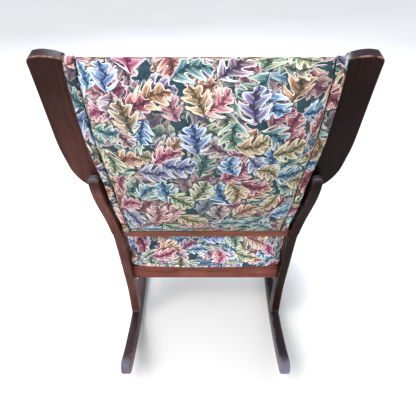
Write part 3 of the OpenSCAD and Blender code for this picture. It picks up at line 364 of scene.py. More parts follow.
def leaf_layer_group():
    """One layer of scattered lobed leaves: colour, cover and the shade round each leaf."""
    tree = bpy.data.node_groups.new("leaf_layer", "ShaderNodeTree")
    for name, kind in (("Vector", "NodeSocketVector"), ("Offset", "NodeSocketVector"),
                       ("Turn", "NodeSocketFloat"), ("Size", "NodeSocketFloat"),
                       ("Keep", "NodeSocketFloat"), ("Fade", "NodeSocketFloat")):
        tree.interface.new_socket(name, in_out="INPUT", socket_type=kind)
    for name, kind in (("Color", "NodeSocketColor"), ("Cover", "NodeSocketFloat"),
                       ("Shade", "NodeSocketFloat")):
        tree.interface.new_socket(name, in_out="OUTPUT", socket_type=kind)
    g = Graph(tree)
    given = g.node("NodeGroupInput").outputs
    out = g.node("NodeGroupOutput")
    turned = g.node("ShaderNodeVectorRotate",
                    {"Vector": given["Vector"], "Angle": given["Turn"]},
                    rotation_type="Z_AXIS").outputs[0]
    place = g.vector("ADD", g.vector("SCALE", turned, 1 / LEAF_CELL), given["Offset"])
    px, py, _ = g.split(place)
    # every second column is half a cell lower
    column = g.math("FLOOR", px)
    py = g.math("ADD", py, g.math("FRACT", g.math("MULTIPLY", column, 0.5)))
    row = g.math("FLOOR", py)
    cell = g.vector("ADD", g.join(column, row, 0.0), given["Offset"])
    random = g.node("ShaderNodeTexWhiteNoise", {"Vector": cell}, noise_dimensions="3D")
    pick = random.outputs["Value"]
    r1, r2, r3 = g.split(random.outputs["Color"])
    lx = g.math("SUBTRACT", g.math("SUBTRACT", px, column), 0.5)
    ly = g.math("SUBTRACT", g.math("SUBTRACT", py, row), 0.5)
    lx = g.math("SUBTRACT", lx, g.math("MULTIPLY", g.math("SUBTRACT", r2, 0.5), STRAY))
    ly = g.math("SUBTRACT", ly, g.math("MULTIPLY", g.math("SUBTRACT", r3, 0.5), STRAY))
    turn = g.math("MULTIPLY", r1, 2 * math.pi)
    local = g.node("ShaderNodeVectorRotate", {"Vector": g.join(lx, ly), "Angle": turn},
                   rotation_type="Z_AXIS").outputs[0]
    waver = g.noise(g.vector("ADD", given["Vector"], cell), 55.0, 3.0, 0.6, colour=True)
    local = g.vector("ADD", local, g.vector(
        "SCALE", g.vector("SUBTRACT", waver, (0.5, 0.5, 0.5)), WAVER))
    ux, wy, _ = g.split(local)
    size = g.math("MULTIPLY", given["Size"], g.math("ADD", 0.8, g.math("MULTIPLY", r3, 0.3)))
    u = g.math("ADD", g.math("DIVIDE", ux, size), 0.5)
    bend = g.math("MULTIPLY", g.math("SUBTRACT", r2, 0.5), BEND)
    centred = g.math("SUBTRACT", u, 0.5)
    arch = g.math("SUBTRACT", g.math("MULTIPLY", centred, centred), 0.09)
    w = g.math("SUBTRACT", g.math("DIVIDE", wy, size), g.math("MULTIPLY", bend, arch))
    side = g.math("ABSOLUTE", w)
    # the lobes leave the midrib toward the tip and curl on toward it
    curl = g.math("ADD", g.math("MULTIPLY", side, 0.55),
                  g.math("MULTIPLY", g.math("MULTIPLY", side, side), 0.8))
    phase = g.math("MULTIPLY", g.math("SUBTRACT", u, curl), LOBES)
    phase = g.math("ADD", phase, g.math("MULTIPLY", g.math("SIGN", w), LOBE_SHIFT))
    t = g.math("FRACT", g.math("ADD", phase, r2))
    lobe, before, after = (
        float_curve(g, g.math("ADD", t, shift), (0.0, 0.0), LOBE_CURVE)
        for shift in (0.0, -0.06, 0.06))
    inner = g.math("MINIMUM", lobe, g.math("MINIMUM", before, after))
    taper = float_curve(g, u, (0.1, 0.0), LEAF_CURVE)
    depth = g.math("ADD", 0.24, g.math("MULTIPLY", r1, 0.14))
    reach = g.math("ADD", depth, g.math("MULTIPLY", g.math("SUBTRACT", 1.0, depth), lobe))
    width = g.math("MULTIPLY", taper, HALF_WIDTH)
    half = g.math("MAXIMUM", g.math("MULTIPLY", width, reach), 0.001)
    rim = g.math("ADD", depth, g.math("MULTIPLY", g.math("SUBTRACT", 1.0, depth), inner))
    rim = g.math("SUBTRACT", side, g.math("MULTIPLY", width, rim))
    fill = g.math("DIVIDE", side, half)
    out_share = g.math("DIVIDE", side, g.math("MAXIMUM", width, 0.02))
    inside = g.math("MULTIPLY", g.step(u, 0.0, 0.02), g.step(u, 1.0, 0.985))
    inside = g.math("MULTIPLY", inside, g.math("LESS_THAN", pick, given["Keep"]))
    cover = g.math("MULTIPLY", inside, g.step(fill, 1.03, 0.95))
    shade = g.math("MULTIPLY", inside, g.step(fill, 1.4, 1.0))
    # tones from the same pick, drifting a little over the leaf
    drift = g.math("MULTIPLY", g.math("SUBTRACT", g.noise(given["Vector"], 30.0, 1.0), 0.5), 0.1)
    tone_at = g.math("ADD", g.math("FRACT", g.math("MULTIPLY", pick, 7.31)), drift)
    last = len(LEAF_TONES) - 1
    deep, body, tip = (g.ramp(tone_at, [(i / last, p[k]) for i, p in enumerate(LEAF_TONES)])
                       for k in range(3))
    streak = g.noise(g.join(g.math("MULTIPLY", phase, 7.0), g.math("MULTIPLY", side, 6.0),
                            pick), 1.0, 3.0, 0.6)
    lift = g.math("ADD", g.math("MULTIPLY", out_share, 0.95),
                  g.math("MULTIPLY", g.math("SUBTRACT", streak, 0.5), 0.8))
    lift = g.math("ADD", lift, g.math("MULTIPLY", g.math("SUBTRACT", lobe, 0.6), 0.5))
    ribs = g.math("SINE", g.math("MULTIPLY", g.math("ADD", phase, r2),
                                 2 * math.pi * RIBS_IN_LOBE))
    lift = g.math("ADD", lift, g.math("MULTIPLY", ribs, 0.2))
    colour = g.mix(g.step(lift, 0.06, 0.24), deep, body)
    colour = g.mix(g.math("MULTIPLY", g.step(lift, 0.52, 0.72), 0.62), colour, tip)
    edge = g.mix(0.4, tip, LEAF_EDGE)
    outline = g.step(rim, -0.025, -0.014)
    # veins: the midrib, one up each lobe and the dark between two lobes
    midrib = g.step(side, 0.026, 0.012)
    up_lobe = g.step(g.math("ABSOLUTE", g.math("SUBTRACT", t, 0.46)), 0.08, 0.03)
    up_lobe = g.math("MULTIPLY", up_lobe, g.step(fill, 0.78, 0.6))
    between = g.step(g.math("ABSOLUTE", g.math("SUBTRACT", t, 0.48)), 0.38, 0.46)
    between = g.math("MULTIPLY", between, g.step(fill, 0.82, 0.7))
    vein = g.math("MAXIMUM", midrib, g.math("MULTIPLY", up_lobe, 0.8))
    vein = g.math("MAXIMUM", vein, g.math("MULTIPLY", between, 0.9))
    vein_tone = g.mix(0.45, deep, GROUND_DEEP)
    colour = g.mix(g.math("MULTIPLY", vein, 0.92), colour, vein_tone)
    colour = g.mix(g.math("MULTIPLY", outline, 0.8), colour, edge)
    colour = g.mix(given["Fade"], colour, GROUND)
    g.put(out, "Color", colour)
    g.put(out, "Cover", cover)
    g.put(out, "Shade", shade)
    return tree


LEAF_LAYER = leaf_layer_group()
# Offset in cells, turn, size in cells, the share of cells that keep their leaf, and how
# far the layer fades into the ground
LEAF_LAYERS = [
    ((0.37, 0.11, 3.0), 0.3, 0.9, 1.0, 0.6),
    ((0.81, 0.63, 11.0), 1.1, 0.95, 1.0, 0.45),
    ((0.13, 0.52, 23.0), 2.0, 0.95, 0.9, 0.25),
    ((0.55, 0.27, 31.0), 2.7, 1.0, 0.75, 0.06),
    ((0.29, 0.84, 47.0), 0.7, 0.98, 0.7, 0.0),
    ((0.92, 0.41, 59.0), 1.6, 1.0, 0.55, 0.0),
    ((0.66, 0.08, 67.0), 2.4, 1.0, 0.45, 0.0),
]


def printed_cloth(name, shift, shade=1.0, blue=0.02):
    """Cloth with layers of leaves, whose print starts at shift. shade scales its brightness and
    blue adds to its blue; above their defaults they paint light on it.
    """
    made, g, shader = material(name)
    place = g.vector("ADD", g.attribute("cloth", "Vector"), shift)
    mottle = g.noise(place, 40.0, 3.0)
    colour = g.mix(mottle, GROUND_DEEP, GROUND)
    under = place
    for offset, turn, size, keep, fade in LEAF_LAYERS:
        layer = g.node("ShaderNodeGroup", {
            "Vector": under, "Offset": offset, "Turn": turn, "Size": size, "Keep": keep,
            "Fade": fade}, node_tree=LEAF_LAYER)
        # the next layer waits for this one, which keeps the shader's stack small
        wait = g.math("MULTIPLY", layer.outputs["Cover"], 1e-6)
        under = g.vector("ADD", place, g.join(wait, 0.0, 0.0))
        colour = g.mix(g.math("MULTIPLY", layer.outputs["Shade"], 0.8), colour, GROUND_DEEP)
        colour = g.mix(layer.outputs["Cover"], colour, layer.outputs["Color"])
    # the weave: ribs of weft over warp, with thick and thin threads
    u, v, painted_light = g.split(place)
    warp = g.math("SINE", g.math("MULTIPLY", u, 2 * math.pi / WARP_PITCH))
    weft = g.math("SINE", g.math("MULTIPLY", v, 2 * math.pi / WEFT_PITCH))
    threads = g.math("MULTIPLY", g.math("ADD", warp, 1.2), g.math("ADD", weft, 1.2))
    slub = g.noise(g.join(g.math("MULTIPLY", u, 90.0), g.math("MULTIPLY", v, 900.0)), 1.0, 2.0)
    fleck = g.math("MULTIPLY", g.math("SUBTRACT", slub, 0.5), 0.34)
    # painted light: the outside back is brighter and bluer toward its top and darker at its foot
    tint = g.math("ADD", g.math("ADD", fleck, shade), painted_light)
    cool = g.math("ADD", g.math("ADD", tint, blue), g.math("MULTIPLY", painted_light, 0.3))
    colour = g.mix(1.0, colour, g.join(tint, tint, cool), "MULTIPLY")
    g.put(shader, "Base Color", colour)
    shader.inputs["Roughness"].default_value = 0.86
    shader.inputs["Specular IOR Level"].default_value = 0.2
    shader.inputs["Sheen Weight"].default_value = 0.03
    shader.inputs["Sheen Roughness"].default_value = 0.5
    soft = g.bump(g.noise(place, 45.0, 3.0), 0.25, 0.002)
    g.put(shader, "Normal", g.bump(g.math("ADD", threads, slub), 0.35, 0.0004, soft))
    return made


def plain_cloth(name, thread_dark, thread_light, pitch, depth=0.5):
    """A plain open weave, such as jute webbing, burlap or a thin black lining."""
    made, g, shader = material(name)
    cloth = g.attribute("cloth", "Vector")
    u, v, _ = g.split(cloth)
    su = g.math("SINE", g.math("MULTIPLY", u, 2 * math.pi / pitch))
    sv = g.math("SINE", g.math("MULTIPLY", v, 2 * math.pi / pitch))
    weave = g.math("MULTIPLY", su, sv)
    fuzz = g.noise(cloth, 900.0, 3.0)
    tone = g.math("ADD", g.math("MULTIPLY", weave, 0.3), fuzz)
    g.put(shader, "Base Color", g.ramp(tone, [(0.2, thread_dark), (0.8, thread_light)]))
    shader.inputs["Roughness"].default_value = 0.9
    g.put(shader, "Normal", g.bump(g.math("ADD", weave, fuzz), depth, pitch / 3))
    return made


def steel(name, dark, light, roughness):
    made, g, shader = material(name)
    place = g.node("ShaderNodeTexCoord").outputs["Object"]
    rust = g.noise(place, 120.0, 4.0, 0.6)
    g.put(shader, "Base Color", g.ramp(rust, [(0.35, dark), (0.65, light)]))
    shader.inputs["Metallic"].default_value = 1.0
    g.put(shader, "Roughness", g.math("ADD", roughness, g.math("MULTIPLY", rust, 0.25)))
    g.put(shader, "Normal", g.bump(g.noise(place, 700.0, 3.0), 0.2, 0.0003))
    return made


PRINT_BACK = printed_cloth("print_back", (0.31, 0.12, 0))
# The seat's print is painted lit: brighter and bluer than the back's
PRINT_SEAT = printed_cloth("print_seat", (0.72, 0.95, 0), 1.4, 0.16)
PRINT_BAND = printed_cloth("print_band", (1.34, 0.4, 0))
JUTE = plain_cloth("jute", srgb(120, 94, 58), srgb(190, 160, 112), 0.0032)
BURLAP = plain_cloth("burlap", srgb(118, 92, 56), srgb(178, 148, 100), 0.0022)
BLACK_CLOTH = plain_cloth("black_cloth", srgb(14, 14, 15), srgb(40, 40, 42), 0.0012, 0.3)
SPRING_STEEL = steel("spring_steel", srgb(60, 52, 46), srgb(130, 130, 132), 0.35)
SCREW_STEEL = steel("screw_steel", srgb(46, 40, 34), srgb(92, 82, 70), 0.5)


# Meshes

def set_vectors(mesh, name, values):
    attribute = mesh.attributes.get(name) or mesh.attributes.new(name, "FLOAT_VECTOR", "POINT")
    attribute.data.foreach_set("vector", np.asarray(values, np.float32).ravel())


def set_numbers(mesh, name, values):
    attribute = mesh.attributes.get(name) or mesh.attributes.new(name, "FLOAT", "POINT")
    attribute.data.foreach_set("value", np.asarray(values, np.float32))


def rows_of(items, name):
    """A vector of each item, as rows of three numbers."""
    values = np.empty(len(items) * 3, np.float32)
    items.foreach_get(name, values)
    return values.reshape(-1, 3).astype(float)


def points_of(mesh):
    return rows_of(mesh.vertices, "co")


def set_points(mesh, co):
    mesh.vertices.foreach_set("co", co.astype(np.float32).ravel())


def stand_in(thing, surface, node):
    """Gives a piece its material and hides the CAD node that it stands for."""
    thing.data.materials.clear()
    thing.data.materials.append(surface)
    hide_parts(node)


WELD = 0.02 * MM


def welded(node):
    """The CAD node's mesh as a bmesh with joined corners."""
    bm = bmesh.new()
    bm.from_mesh(CAD_NODES[node].data)
    bmesh.ops.remove_doubles(bm, verts=bm.verts, dist=WELD)
    return bm


def mesh_from(bm, name):
    """The bmesh as a new mesh. The bmesh is freed."""
    mesh = bpy.data.meshes.new(name)
    bm.to_mesh(mesh)
    bm.free()
    return mesh


def cut_along_plane(bm, place, axis):
    """Adds edges where the plane at place, across axis, passes through the faces."""
    bmesh.ops.bisect_plane(bm, geom=bm.verts[:] + bm.edges[:] + bm.faces[:], dist=1e-6,
                           plane_co=place, plane_no=axis)


def evaluated_mesh(thing):
    """The object's mesh with its modifiers applied."""
    graph = bpy.context.evaluated_depsgraph_get()
    return bpy.data.meshes.new_from_object(thing.evaluated_get(graph), depsgraph=graph)


def apply_modifiers(thing):
    mesh = evaluated_mesh(thing)
    thing.modifiers.clear()
    old = thing.data
    thing.data = mesh
    bpy.data.meshes.remove(old)
    return mesh


def board_axes(along):
    """Three axes for a board's grain: along it, and two across."""
    along = Vector(along).normalized()
    across = ACROSS if abs(along.x) < 0.7 else Vector((0, 1, 0))
    across = (across - along * across.dot(along)).normalized()
    return along, across, along.cross(across)


# Bores have walls of strips narrower than this. Faces within FLAT of one plane are one
# face, corners of a sawn curve within MERGE are one corner, and edges over SHARP are eased.
BORE_STRIP = 1 * MM
FLAT = math.radians(0.6)
MERGE = 1.8 * MM
SHARP = math.radians(32)
# How the wear and painted edge highlight of an eased edge's outer strips, and of faces
# that don't look up, compares
RIM_WEAR_AND_SHEEN = 0.3
SIDE_WEAR_AND_SHEEN = 0.35


def bore_corners(bm):
    """The corners of round bores, whose walls are narrow strips that face one another."""
    found = set()
    for face in bm.faces:
        longest = max(face.edges, key=lambda e: e.calc_length())
        if face.calc_area() < BORE_STRIP * longest.calc_length() and not longest.is_convex:
            found.update(face.verts)
    return found


def timber(node, surface, along, ease, segments, square_ends=False, rub_and_sheen=1.0,
           reshape=None):
    """A board from its CAD node, with eased edges and its own stretch of grain.

    square_ends leaves the edges of the two ends as sawn, where they meet other boards.
    rub says how much of the edges' wear and painted highlight shows. reshape(point) moves
    the points of a wing, whose top is first cut into small faces.

    The wear attribute, worn edges that also carry a painted highlight, is highest in the
    middle of an eased edge that faces up."""
    bm = welded(node)
    bmesh.ops.dissolve_limit(bm, angle_limit=FLAT, verts=bm.verts, edges=bm.edges)
    bored = bore_corners(bm)
    bmesh.ops.remove_doubles(bm, verts=[v for v in bm.verts if v not in bored], dist=MERGE)
    bm.normal_update()
    wear_and_sheen = bm.faces.layers.float.new("wear_and_sheen")
    line = Vector(along).normalized()
    ends = {e for f in bm.faces for e in f.edges
            if square_ends and abs(f.normal.dot(line)) > 0.9}
    edges = [e for e in bm.edges if len(e.link_faces) == 2 and e not in ends
             and e.calc_face_angle() > SHARP and bored.isdisjoint(e.verts)]
    made = bmesh.ops.bevel(bm, geom=edges, offset=ease, offset_type="OFFSET",
                           segments=segments, profile=0.5, affect="EDGES",
                           clamp_overlap=False, miter_outer="ARC")
    eased = set(made["faces"])
    # Worn edges, whose light worn colour also paints a highlight; most on edges that face up
    for face in eased:
        inner = all(other in eased for e in face.edges for other in e.link_faces)
        face[wear_and_sheen] = (rub_and_sheen * (1.0 if inner else RIM_WEAR_AND_SHEEN)
                      * (1.0 if face.normal.z > 0.3 else SIDE_WEAR_AND_SHEEN))
    if reshape:
        for axis, places in ((ACROSS, WING_CUTS_X), (BACK_UP, WING_CUTS_V)):
            for place in places:
                cut_along_plane(bm, BACK_ORIGIN + axis * place, axis)
        for v in bm.verts:
            v.co = reshape(v.co)
        bm.normal_update()
    mesh = mesh_from(bm, node + "_wood")
    piece = linked(node + "_wood", mesh)
    stand_in(piece, surface, node)
    mesh.shade_smooth()
    co = points_of(mesh)
    axes = np.array(board_axes(along), float)
    # each board shows its own stretch of grain
    seed = sum(ord(c) * (i + 3) for i, c in enumerate(node)) % 97
    set_vectors(mesh, "grain", co @ axes.T + np.array([seed * 0.37, seed * 0.11, 0]))
    rise = (co[:, 2] - co[:, 2].min()) / np.ptp(co[:, 2])
    # the board's tone, partly painted light and shade along its height
    set_numbers(mesh, "board", np.interp(rise, *BOARD_TONES_AND_PAINTED_LIGHT.get(node, COMMON_BOARD)))
    # painted highlights, partly scuffs, on the runners' tips and the posts' ends
    set_numbers(mesh, "scuff_and_sheen", TIP_SCUFF_AND_SHEEN.get(node, 0)
                * np.clip((co[:, 1] - TIP_Y[0]) / np.ptp(TIP_Y), 0, 1)
                + POST_SCUFF_AND_SHEEN.get(node, 0) * np.interp(rise, *POST_ENDS))
    smooth = piece.modifiers.new("flats", "WEIGHTED_NORMAL")
    smooth.keep_sharp = True
    apply_modifiers(piece)
    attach(piece, "root")


def dressed_node(node, surface, along=(0, 0, 1), attribute="grain"):
    """A CAD node that keeps its own solid and gets a material."""
    thing = CAD_NODES[node]
    thing.data.materials.clear()
    thing.data.materials.append(surface)
    co = points_of(thing.data)
    set_vectors(thing.data, attribute, co @ np.array(board_axes(along), float).T)


# Wood

# A wing's outer edge, its crest along the back's slope, its rear face forward of the back's
# origin, its thickness and its width at the top
WING_EDGE_X = 0.3135
WING_CREST_V = 0.505
WING_REAR = 9.5 * MM
WING_BOARD = 24 * MM
WING_TOP_WIDTH = 78 * MM
# Cuts, 4 mm apart, that let the top take its worn shape
WING_CUTS_X = [side * x * MM for side in (-1, 1) for x in range(236, 313, 4)]
WING_CUTS_V = [v * MM for v in range(441, 505, 4)]
# The worn shape starts at WORN_FROM along the slope and is whole WORN_OVER further up. The
# front face's outer edge stands out by WING_SWELL. The corner is rounder at the front. The
# crown's top is CROWN_PLACE of the width in from the outer edge.
WORN_FROM = 0.44
WORN_OVER = 0.05
WING_SWELL = 3 * MM
CORNER_RADIUS = 9 * MM
CORNER_EXTRA = 8 * MM
CROWN_HEIGHT = 3.2 * MM
CROWN_FALL = 19 * MM
CROWN_PLACE = 0.43


def worn_round(place):
    """A wing's top is crowned and its outer corner rounded, more so toward the front face."""
    local = place - BACK_ORIGIN
    across, v, forward = abs(local.x), local.dot(BACK_UP), local.dot(BACK_FORWARD)
    share = min(max((forward - WING_REAR) / WING_BOARD, 0), 1)
    gate = min(max((v - WORN_FROM) / WORN_OVER, 0), 1)
    place_in = (WING_EDGE_X - across) / WING_TOP_WIDTH
    across += WING_SWELL * share * gate
    radius = CORNER_RADIUS + CORNER_EXTRA * share
    beyond = (radius - (WING_EDGE_X - across), radius - (WING_CREST_V - v))
    if beyond[0] > 0 and beyond[1] > 0:
        length = math.hypot(*beyond)
        if length > radius:
            across -= beyond[0] * (1 - radius / length)
            v -= beyond[1] * (1 - radius / length)
    crown = CROWN_HEIGHT - CROWN_FALL * (place_in - CROWN_PLACE) ** 2
    v += crown * (0.5 + 0.5 * share) * gate
    return (BACK_ORIGIN + ACROSS * math.copysign(across, local.x) + BACK_UP * v
            + BACK_FORWARD * forward)


for side in ("left", "right"):
    timber(side + "_runner", MAHOGANY, (0, 1, 0), 5 * MM, 5, rub_and_sheen=0.3)
    timber(side + "_rear_post", MAHOGANY, (0, 0.16, 1), 3 * MM, 4, rub_and_sheen=0.35)
    timber(side + "_front_post", MAHOGANY, (0, 0, 1), 3 * MM, 4, rub_and_sheen=0.5)
    timber(side + "_arm", MAHOGANY, (0, 1, 0), 4 * MM, 4, rub_and_sheen=0.5)
    timber(side + "_wing", MAHOGANY, BACK_UP, 3.2 * MM, 5, reshape=worn_round)
    timber(side + "_seat_rail", MAHOGANY, (0, 1, 0), 1.5 * MM, 3, True)
    timber("back_" + side + "_stile", FRAME_WOOD, BACK_UP, 1 * MM, 2, True)
timber("seat_rear_rail", MAHOGANY, (1, 0, 0), 2 * MM, 3, True)
timber("seat_front_rail", MAHOGANY, (1, 0, 0), 2 * MM, 3, True)
timber("back_foot_rail", FOOT_RAIL_WOOD, (1, 0, 0), 2.5 * MM, 3, True)
timber("back_top_rail", FRAME_WOOD, (1, 0, 0), 1 * MM, 2, True)
timber("seat_corner_blocks", FRAME_WOOD, (1, 0, 0), 1 * MM, 2)
for node, along in (("foot_dowels", (0, 0, 1)), ("seat_rail_dowels", (1, 0, 0)),
                    ("back_dowels", (1, 0, 0)), ("arm_dowels", (0, 0, 1))):
    dressed_node(node, DOWEL_WOOD, along)
for node in ("corner_block_screws", "wing_screws", "wing_lap_screws"):
    dressed_node(node, SCREW_STEEL)
dressed_node("seat_springs", SPRING_STEEL)
for node, axis in (("seat_webbing_lengthwise", (0, 1, 0)), ("seat_webbing_crosswise", (0, 1, 0)),
                   ("back_webbing_upright", BACK_UP), ("back_webbing_crosswise", BACK_UP)):
    dressed_node(node, JUTE, axis, "cloth")
for node, axis in (("seat_burlap", (0, 1, 0)), ("back_burlap", BACK_UP)):
    dressed_node(node, BURLAP, axis, "cloth")
# The outside back's lining is black, painted shade for the seams between the outside back and
# its bands
dressed_node("outside_back_lining", BLACK_CLOTH, BACK_UP, "cloth")


# Stuffed pads

VOXEL = 5 * MM
PRESSURE = 4.0
TENSION = 15.0
SIM_FRAMES = 20
# A pad may swell into a share of the room that is left to its neighbours beyond a
# clearance. Within NEAR of them it is held the more the closer it is.
CLEARANCE = 0.6 * MM
ROOM_SHARE = 0.8
NEAR = 6 * MM


def tree_of(nodes):
    """A search tree over the surfaces of several CAD nodes."""
    points, faces = [], []
    for n in nodes:
        mesh = CAD_NODES[n].data
        start = len(points)
        points += [v.co.copy() for v in mesh.vertices]
        faces += [[start + i for i in p.vertices] for p in mesh.polygons]
    return BVHTree.FromPolygons(points, faces)


def cloth_map(mesh, origin, across, up, out, shift=(0.0, 0.0), painted_light=((0, 1), (0, 0))):
    """Metres along the cloth, which runs on over the rolled edges of a pad.

    The third number is painted light on the cloth. It comes from a table of shares of the
    pad's height and of painted light."""
    co = points_of(mesh) - np.array(origin, float)
    normals = rows_of(mesh.vertex_normals, "vector")
    axes = [np.array(a, float) for a in (across, up, out)]
    x, y, z = (co @ a for a in axes)
    nx, ny, _ = (normals @ a for a in axes)
    drop = z.max() - z
    set_vectors(mesh, "cloth", np.stack(
        [x + nx * drop + shift[0], y + ny * drop + shift[1],
         np.interp((y - y.min()) / np.ptp(y), *painted_light)], 1))


def smoothed(co, edges, free, rounds):
    """Points moved toward the mean of their neighbours, where free is 1."""
    total = np.zeros(len(co))
    np.add.at(total, edges[:, 0], 1)
    np.add.at(total, edges[:, 1], 1)
    for _ in range(rounds):
        mean = np.zeros_like(co)
        np.add.at(mean, edges[:, 0], co[edges[:, 1]])
        np.add.at(mean, edges[:, 1], co[edges[:, 0]])
        mean /= np.maximum(total, 1)[:, None]
        co = co + (mean - co) * (0.5 * free)[:, None]
    return co


def edges_of(mesh):
    pairs = np.empty(len(mesh.edges) * 2, np.int32)
    mesh.edges.foreach_get("vertices", pairs)
    return pairs.reshape(-1, 2)


def remeshed(name, node, voxel=VOXEL):
    """A new object with the CAD node's shape in faces of one even size."""
    thing = linked(name, mesh_from(welded(node), name))
    even = thing.modifiers.new("even", "REMESH")
    even.mode = "VOXEL"
    even.voxel_size = voxel
    apply_modifiers(thing)
    return thing


def stuffed(name, node, surface, frame_axes, neighbours, pinned, cap, rounds=12):
    """A pad from its CAD solid, swelled by a cloth simulation and held where it is tacked.

    pinned(x, y, z) takes places along the pad's own axes and says, from 0 to 1, how far each
    point is held. No point moves further than cap, or into a neighbour."""
    thing = remeshed(name, node)
    origin, across, up, out = (np.array(a, float) for a in frame_axes)
    start = points_of(thing.data)
    local = np.stack([(start - origin) @ a for a in (across, up, out)], 1)
    hold = np.clip(pinned(*local.T), 0, 1)
    solids = tree_of(neighbours)
    room = np.array([(solids.find_nearest(Vector(p))[3] or 1.0) for p in start])
    limit = np.minimum(cap * (1 - hold), np.maximum(room - CLEARANCE, 0) * ROOM_SHARE)
    away = np.clip(room / NEAR, 0, 1)
    free = (1 - hold) * away
    start = smoothed(start, edges_of(thing.data), free, rounds)
    set_points(thing.data, start)
    thing.data.update()
    group = thing.vertex_groups.new(name="held")
    levels = np.round(np.maximum(hold, 1 - away) * 10) / 10
    for level in np.unique(levels):
        if level > 0:
            group.add(np.nonzero(levels == level)[0].tolist(), float(level), "REPLACE")
    cloth = thing.modifiers.new("cloth", "CLOTH")
    settings = cloth.settings
    settings.quality = 6
    settings.mass = 0.3
    settings.tension_stiffness = TENSION
    settings.compression_stiffness = TENSION
    settings.shear_stiffness = 5
    settings.bending_stiffness = 0.4
    settings.use_pressure = True
    settings.uniform_pressure_force = PRESSURE
    settings.vertex_group_mass = "held"
    settings.effector_weights.gravity = 0
    cloth.collision_settings.use_collision = False
    scene = bpy.context.scene
    scene.frame_start, scene.frame_end = 1, SIM_FRAMES
    cloth.point_cache.frame_start, cloth.point_cache.frame_end = 1, SIM_FRAMES
    for number in range(1, SIM_FRAMES + 1):
        scene.frame_set(number)
    mesh = evaluated_mesh(thing)
    end = points_of(mesh)
    bpy.data.meshes.remove(mesh)
    thing.modifiers.clear()
    scene.frame_set(1)
    moved = end - start
    length = np.linalg.norm(moved, axis=1)
    start = start + moved * np.minimum(1, limit / np.maximum(length, 1e-9))[:, None]
    start = smoothed(start, edges_of(thing.data), free, 2)
    set_points(thing.data, start)
    thing.data.update()
    thing.vertex_groups.clear()
    finer = thing.modifiers.new("finer", "SUBSURF")
    finer.levels = finer.render_levels = 1
    apply_modifiers(thing).shade_smooth()
    stand_in(thing, surface, node)
    return thing


BACK_AXES = (BACK_ORIGIN, ACROSS, BACK_UP, BACK_FORWARD)
OUTSIDE_AXES = (BACK_ORIGIN, ACROSS, BACK_UP, -BACK_FORWARD)
SEAT_AXES = (SEAT_ORIGIN, ACROSS, SEAT_REAR, SEAT_UP)
# The band along the top lies on a slope of its own
TOP_SLOPE = math.radians(31)
TOP_AXES = (BACK_ORIGIN, ACROSS,
            BACK_UP * math.sin(TOP_SLOPE) - BACK_FORWARD * math.cos(TOP_SLOPE),
            BACK_UP * math.cos(TOP_SLOPE) + BACK_FORWARD * math.sin(TOP_SLOPE))


# The seat pad keeps within SEAT_HALF of its middle line between the rear posts, which it
# enters at POSTS_FROM_Y. Ahead of them it may be wider by SIDE_ROOM on each side, and its
# sides draw in by the share DRAWN_IN from the first to the second height.
SEAT_HALF = 0.2174
POSTS_FROM_Y = 0.06
POSTS_OVER = 0.03
SIDE_ROOM = 0.03
DRAWN_IN = 0.03
DRAWN_HEIGHTS = (30 * MM, 75 * MM)
# The inside back pad's foot hangs this much lower, in its lowest stretch
FOOT_DROP = 10 * MM
FOOT_STRETCH = 18 * MM
# Shares of the outside back's height, and its painted light there: painted shade at the
# foot, painted light toward the top
BACK_PAINTED_LIGHT = ((0, 0.3, 0.6, 1), (-0.12, -0.02, 0.03, 0.36))


def held_below(height, fade):
    """Holds the points of a pad up to a height over its base, and fades out over the next."""
    return lambda x, y, z: 1 - (z - height) / fade


def make_seat():
    piece = stuffed(
        "seat_pad", "seat_cushion", PRINT_SEAT, SEAT_AXES,
        ["left_rear_post", "right_rear_post", "left_front_post", "right_front_post",
         "seat_rear_rail", "seat_front_rail", "left_seat_rail", "right_seat_rail"],
        held_below(14 * MM, 14 * MM), cap=12 * MM)
    # its sides draw in toward the crown, except between the rear posts
    co = points_of(piece.data)
    rise = (co - np.array(SEAT_ORIGIN)) @ np.array(SEAT_UP)
    between = np.clip((co[:, 1] - POSTS_FROM_Y) / POSTS_OVER, 0, 1)
    co[:, 0] *= np.interp(rise, DRAWN_HEIGHTS, (1.0, 1 - DRAWN_IN)) + DRAWN_IN * between
    limit = SEAT_HALF + SIDE_ROOM * (1 - between)
    co[:, 0] = np.clip(co[:, 0], -limit, limit)
    set_points(piece.data, co)
    cloth_map(piece.data, *SEAT_AXES)
    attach(piece, "root")


def make_inside_back():
    piece = stuffed(
        "inside_back_pad", "inside_back_cushion", PRINT_BACK, BACK_AXES,
        ["left_back_band", "right_back_band", "top_back_band", "left_rear_post",
         "right_rear_post", "left_wing", "right_wing"],
        held_below(34 * MM, 10 * MM), cap=16 * MM)
    # its foot hangs over the tacked ends of the webbing
    co = points_of(piece.data)
    rise = (co - np.array(BACK_ORIGIN)) @ np.array(BACK_UP)
    share = np.clip(1 - (rise - rise.min()) / FOOT_STRETCH, 0, 1)
    co -= np.array(BACK_UP) * (share * FOOT_DROP)[:, None]
    set_points(piece.data, co)
    cloth_map(piece.data, *BACK_AXES, (0.4, 0.2))
    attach(piece, "root")


def make_outside_back():
    piece = stuffed(
        "outside_back_pad", "outside_back_panel", PRINT_BACK, OUTSIDE_AXES,
        ["left_back_band", "right_back_band", "back_foot_rail", "left_rear_post",
         "right_rear_post"],
        held_below(4 * MM, 6 * MM), cap=5 * MM, rounds=10)
    cloth_map(piece.data, *OUTSIDE_AXES, painted_light=BACK_PAINTED_LIGHT)
    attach(piece, "root")


make_seat()
make_inside_back()
make_outside_back()


# Bands, gimp and dust cover

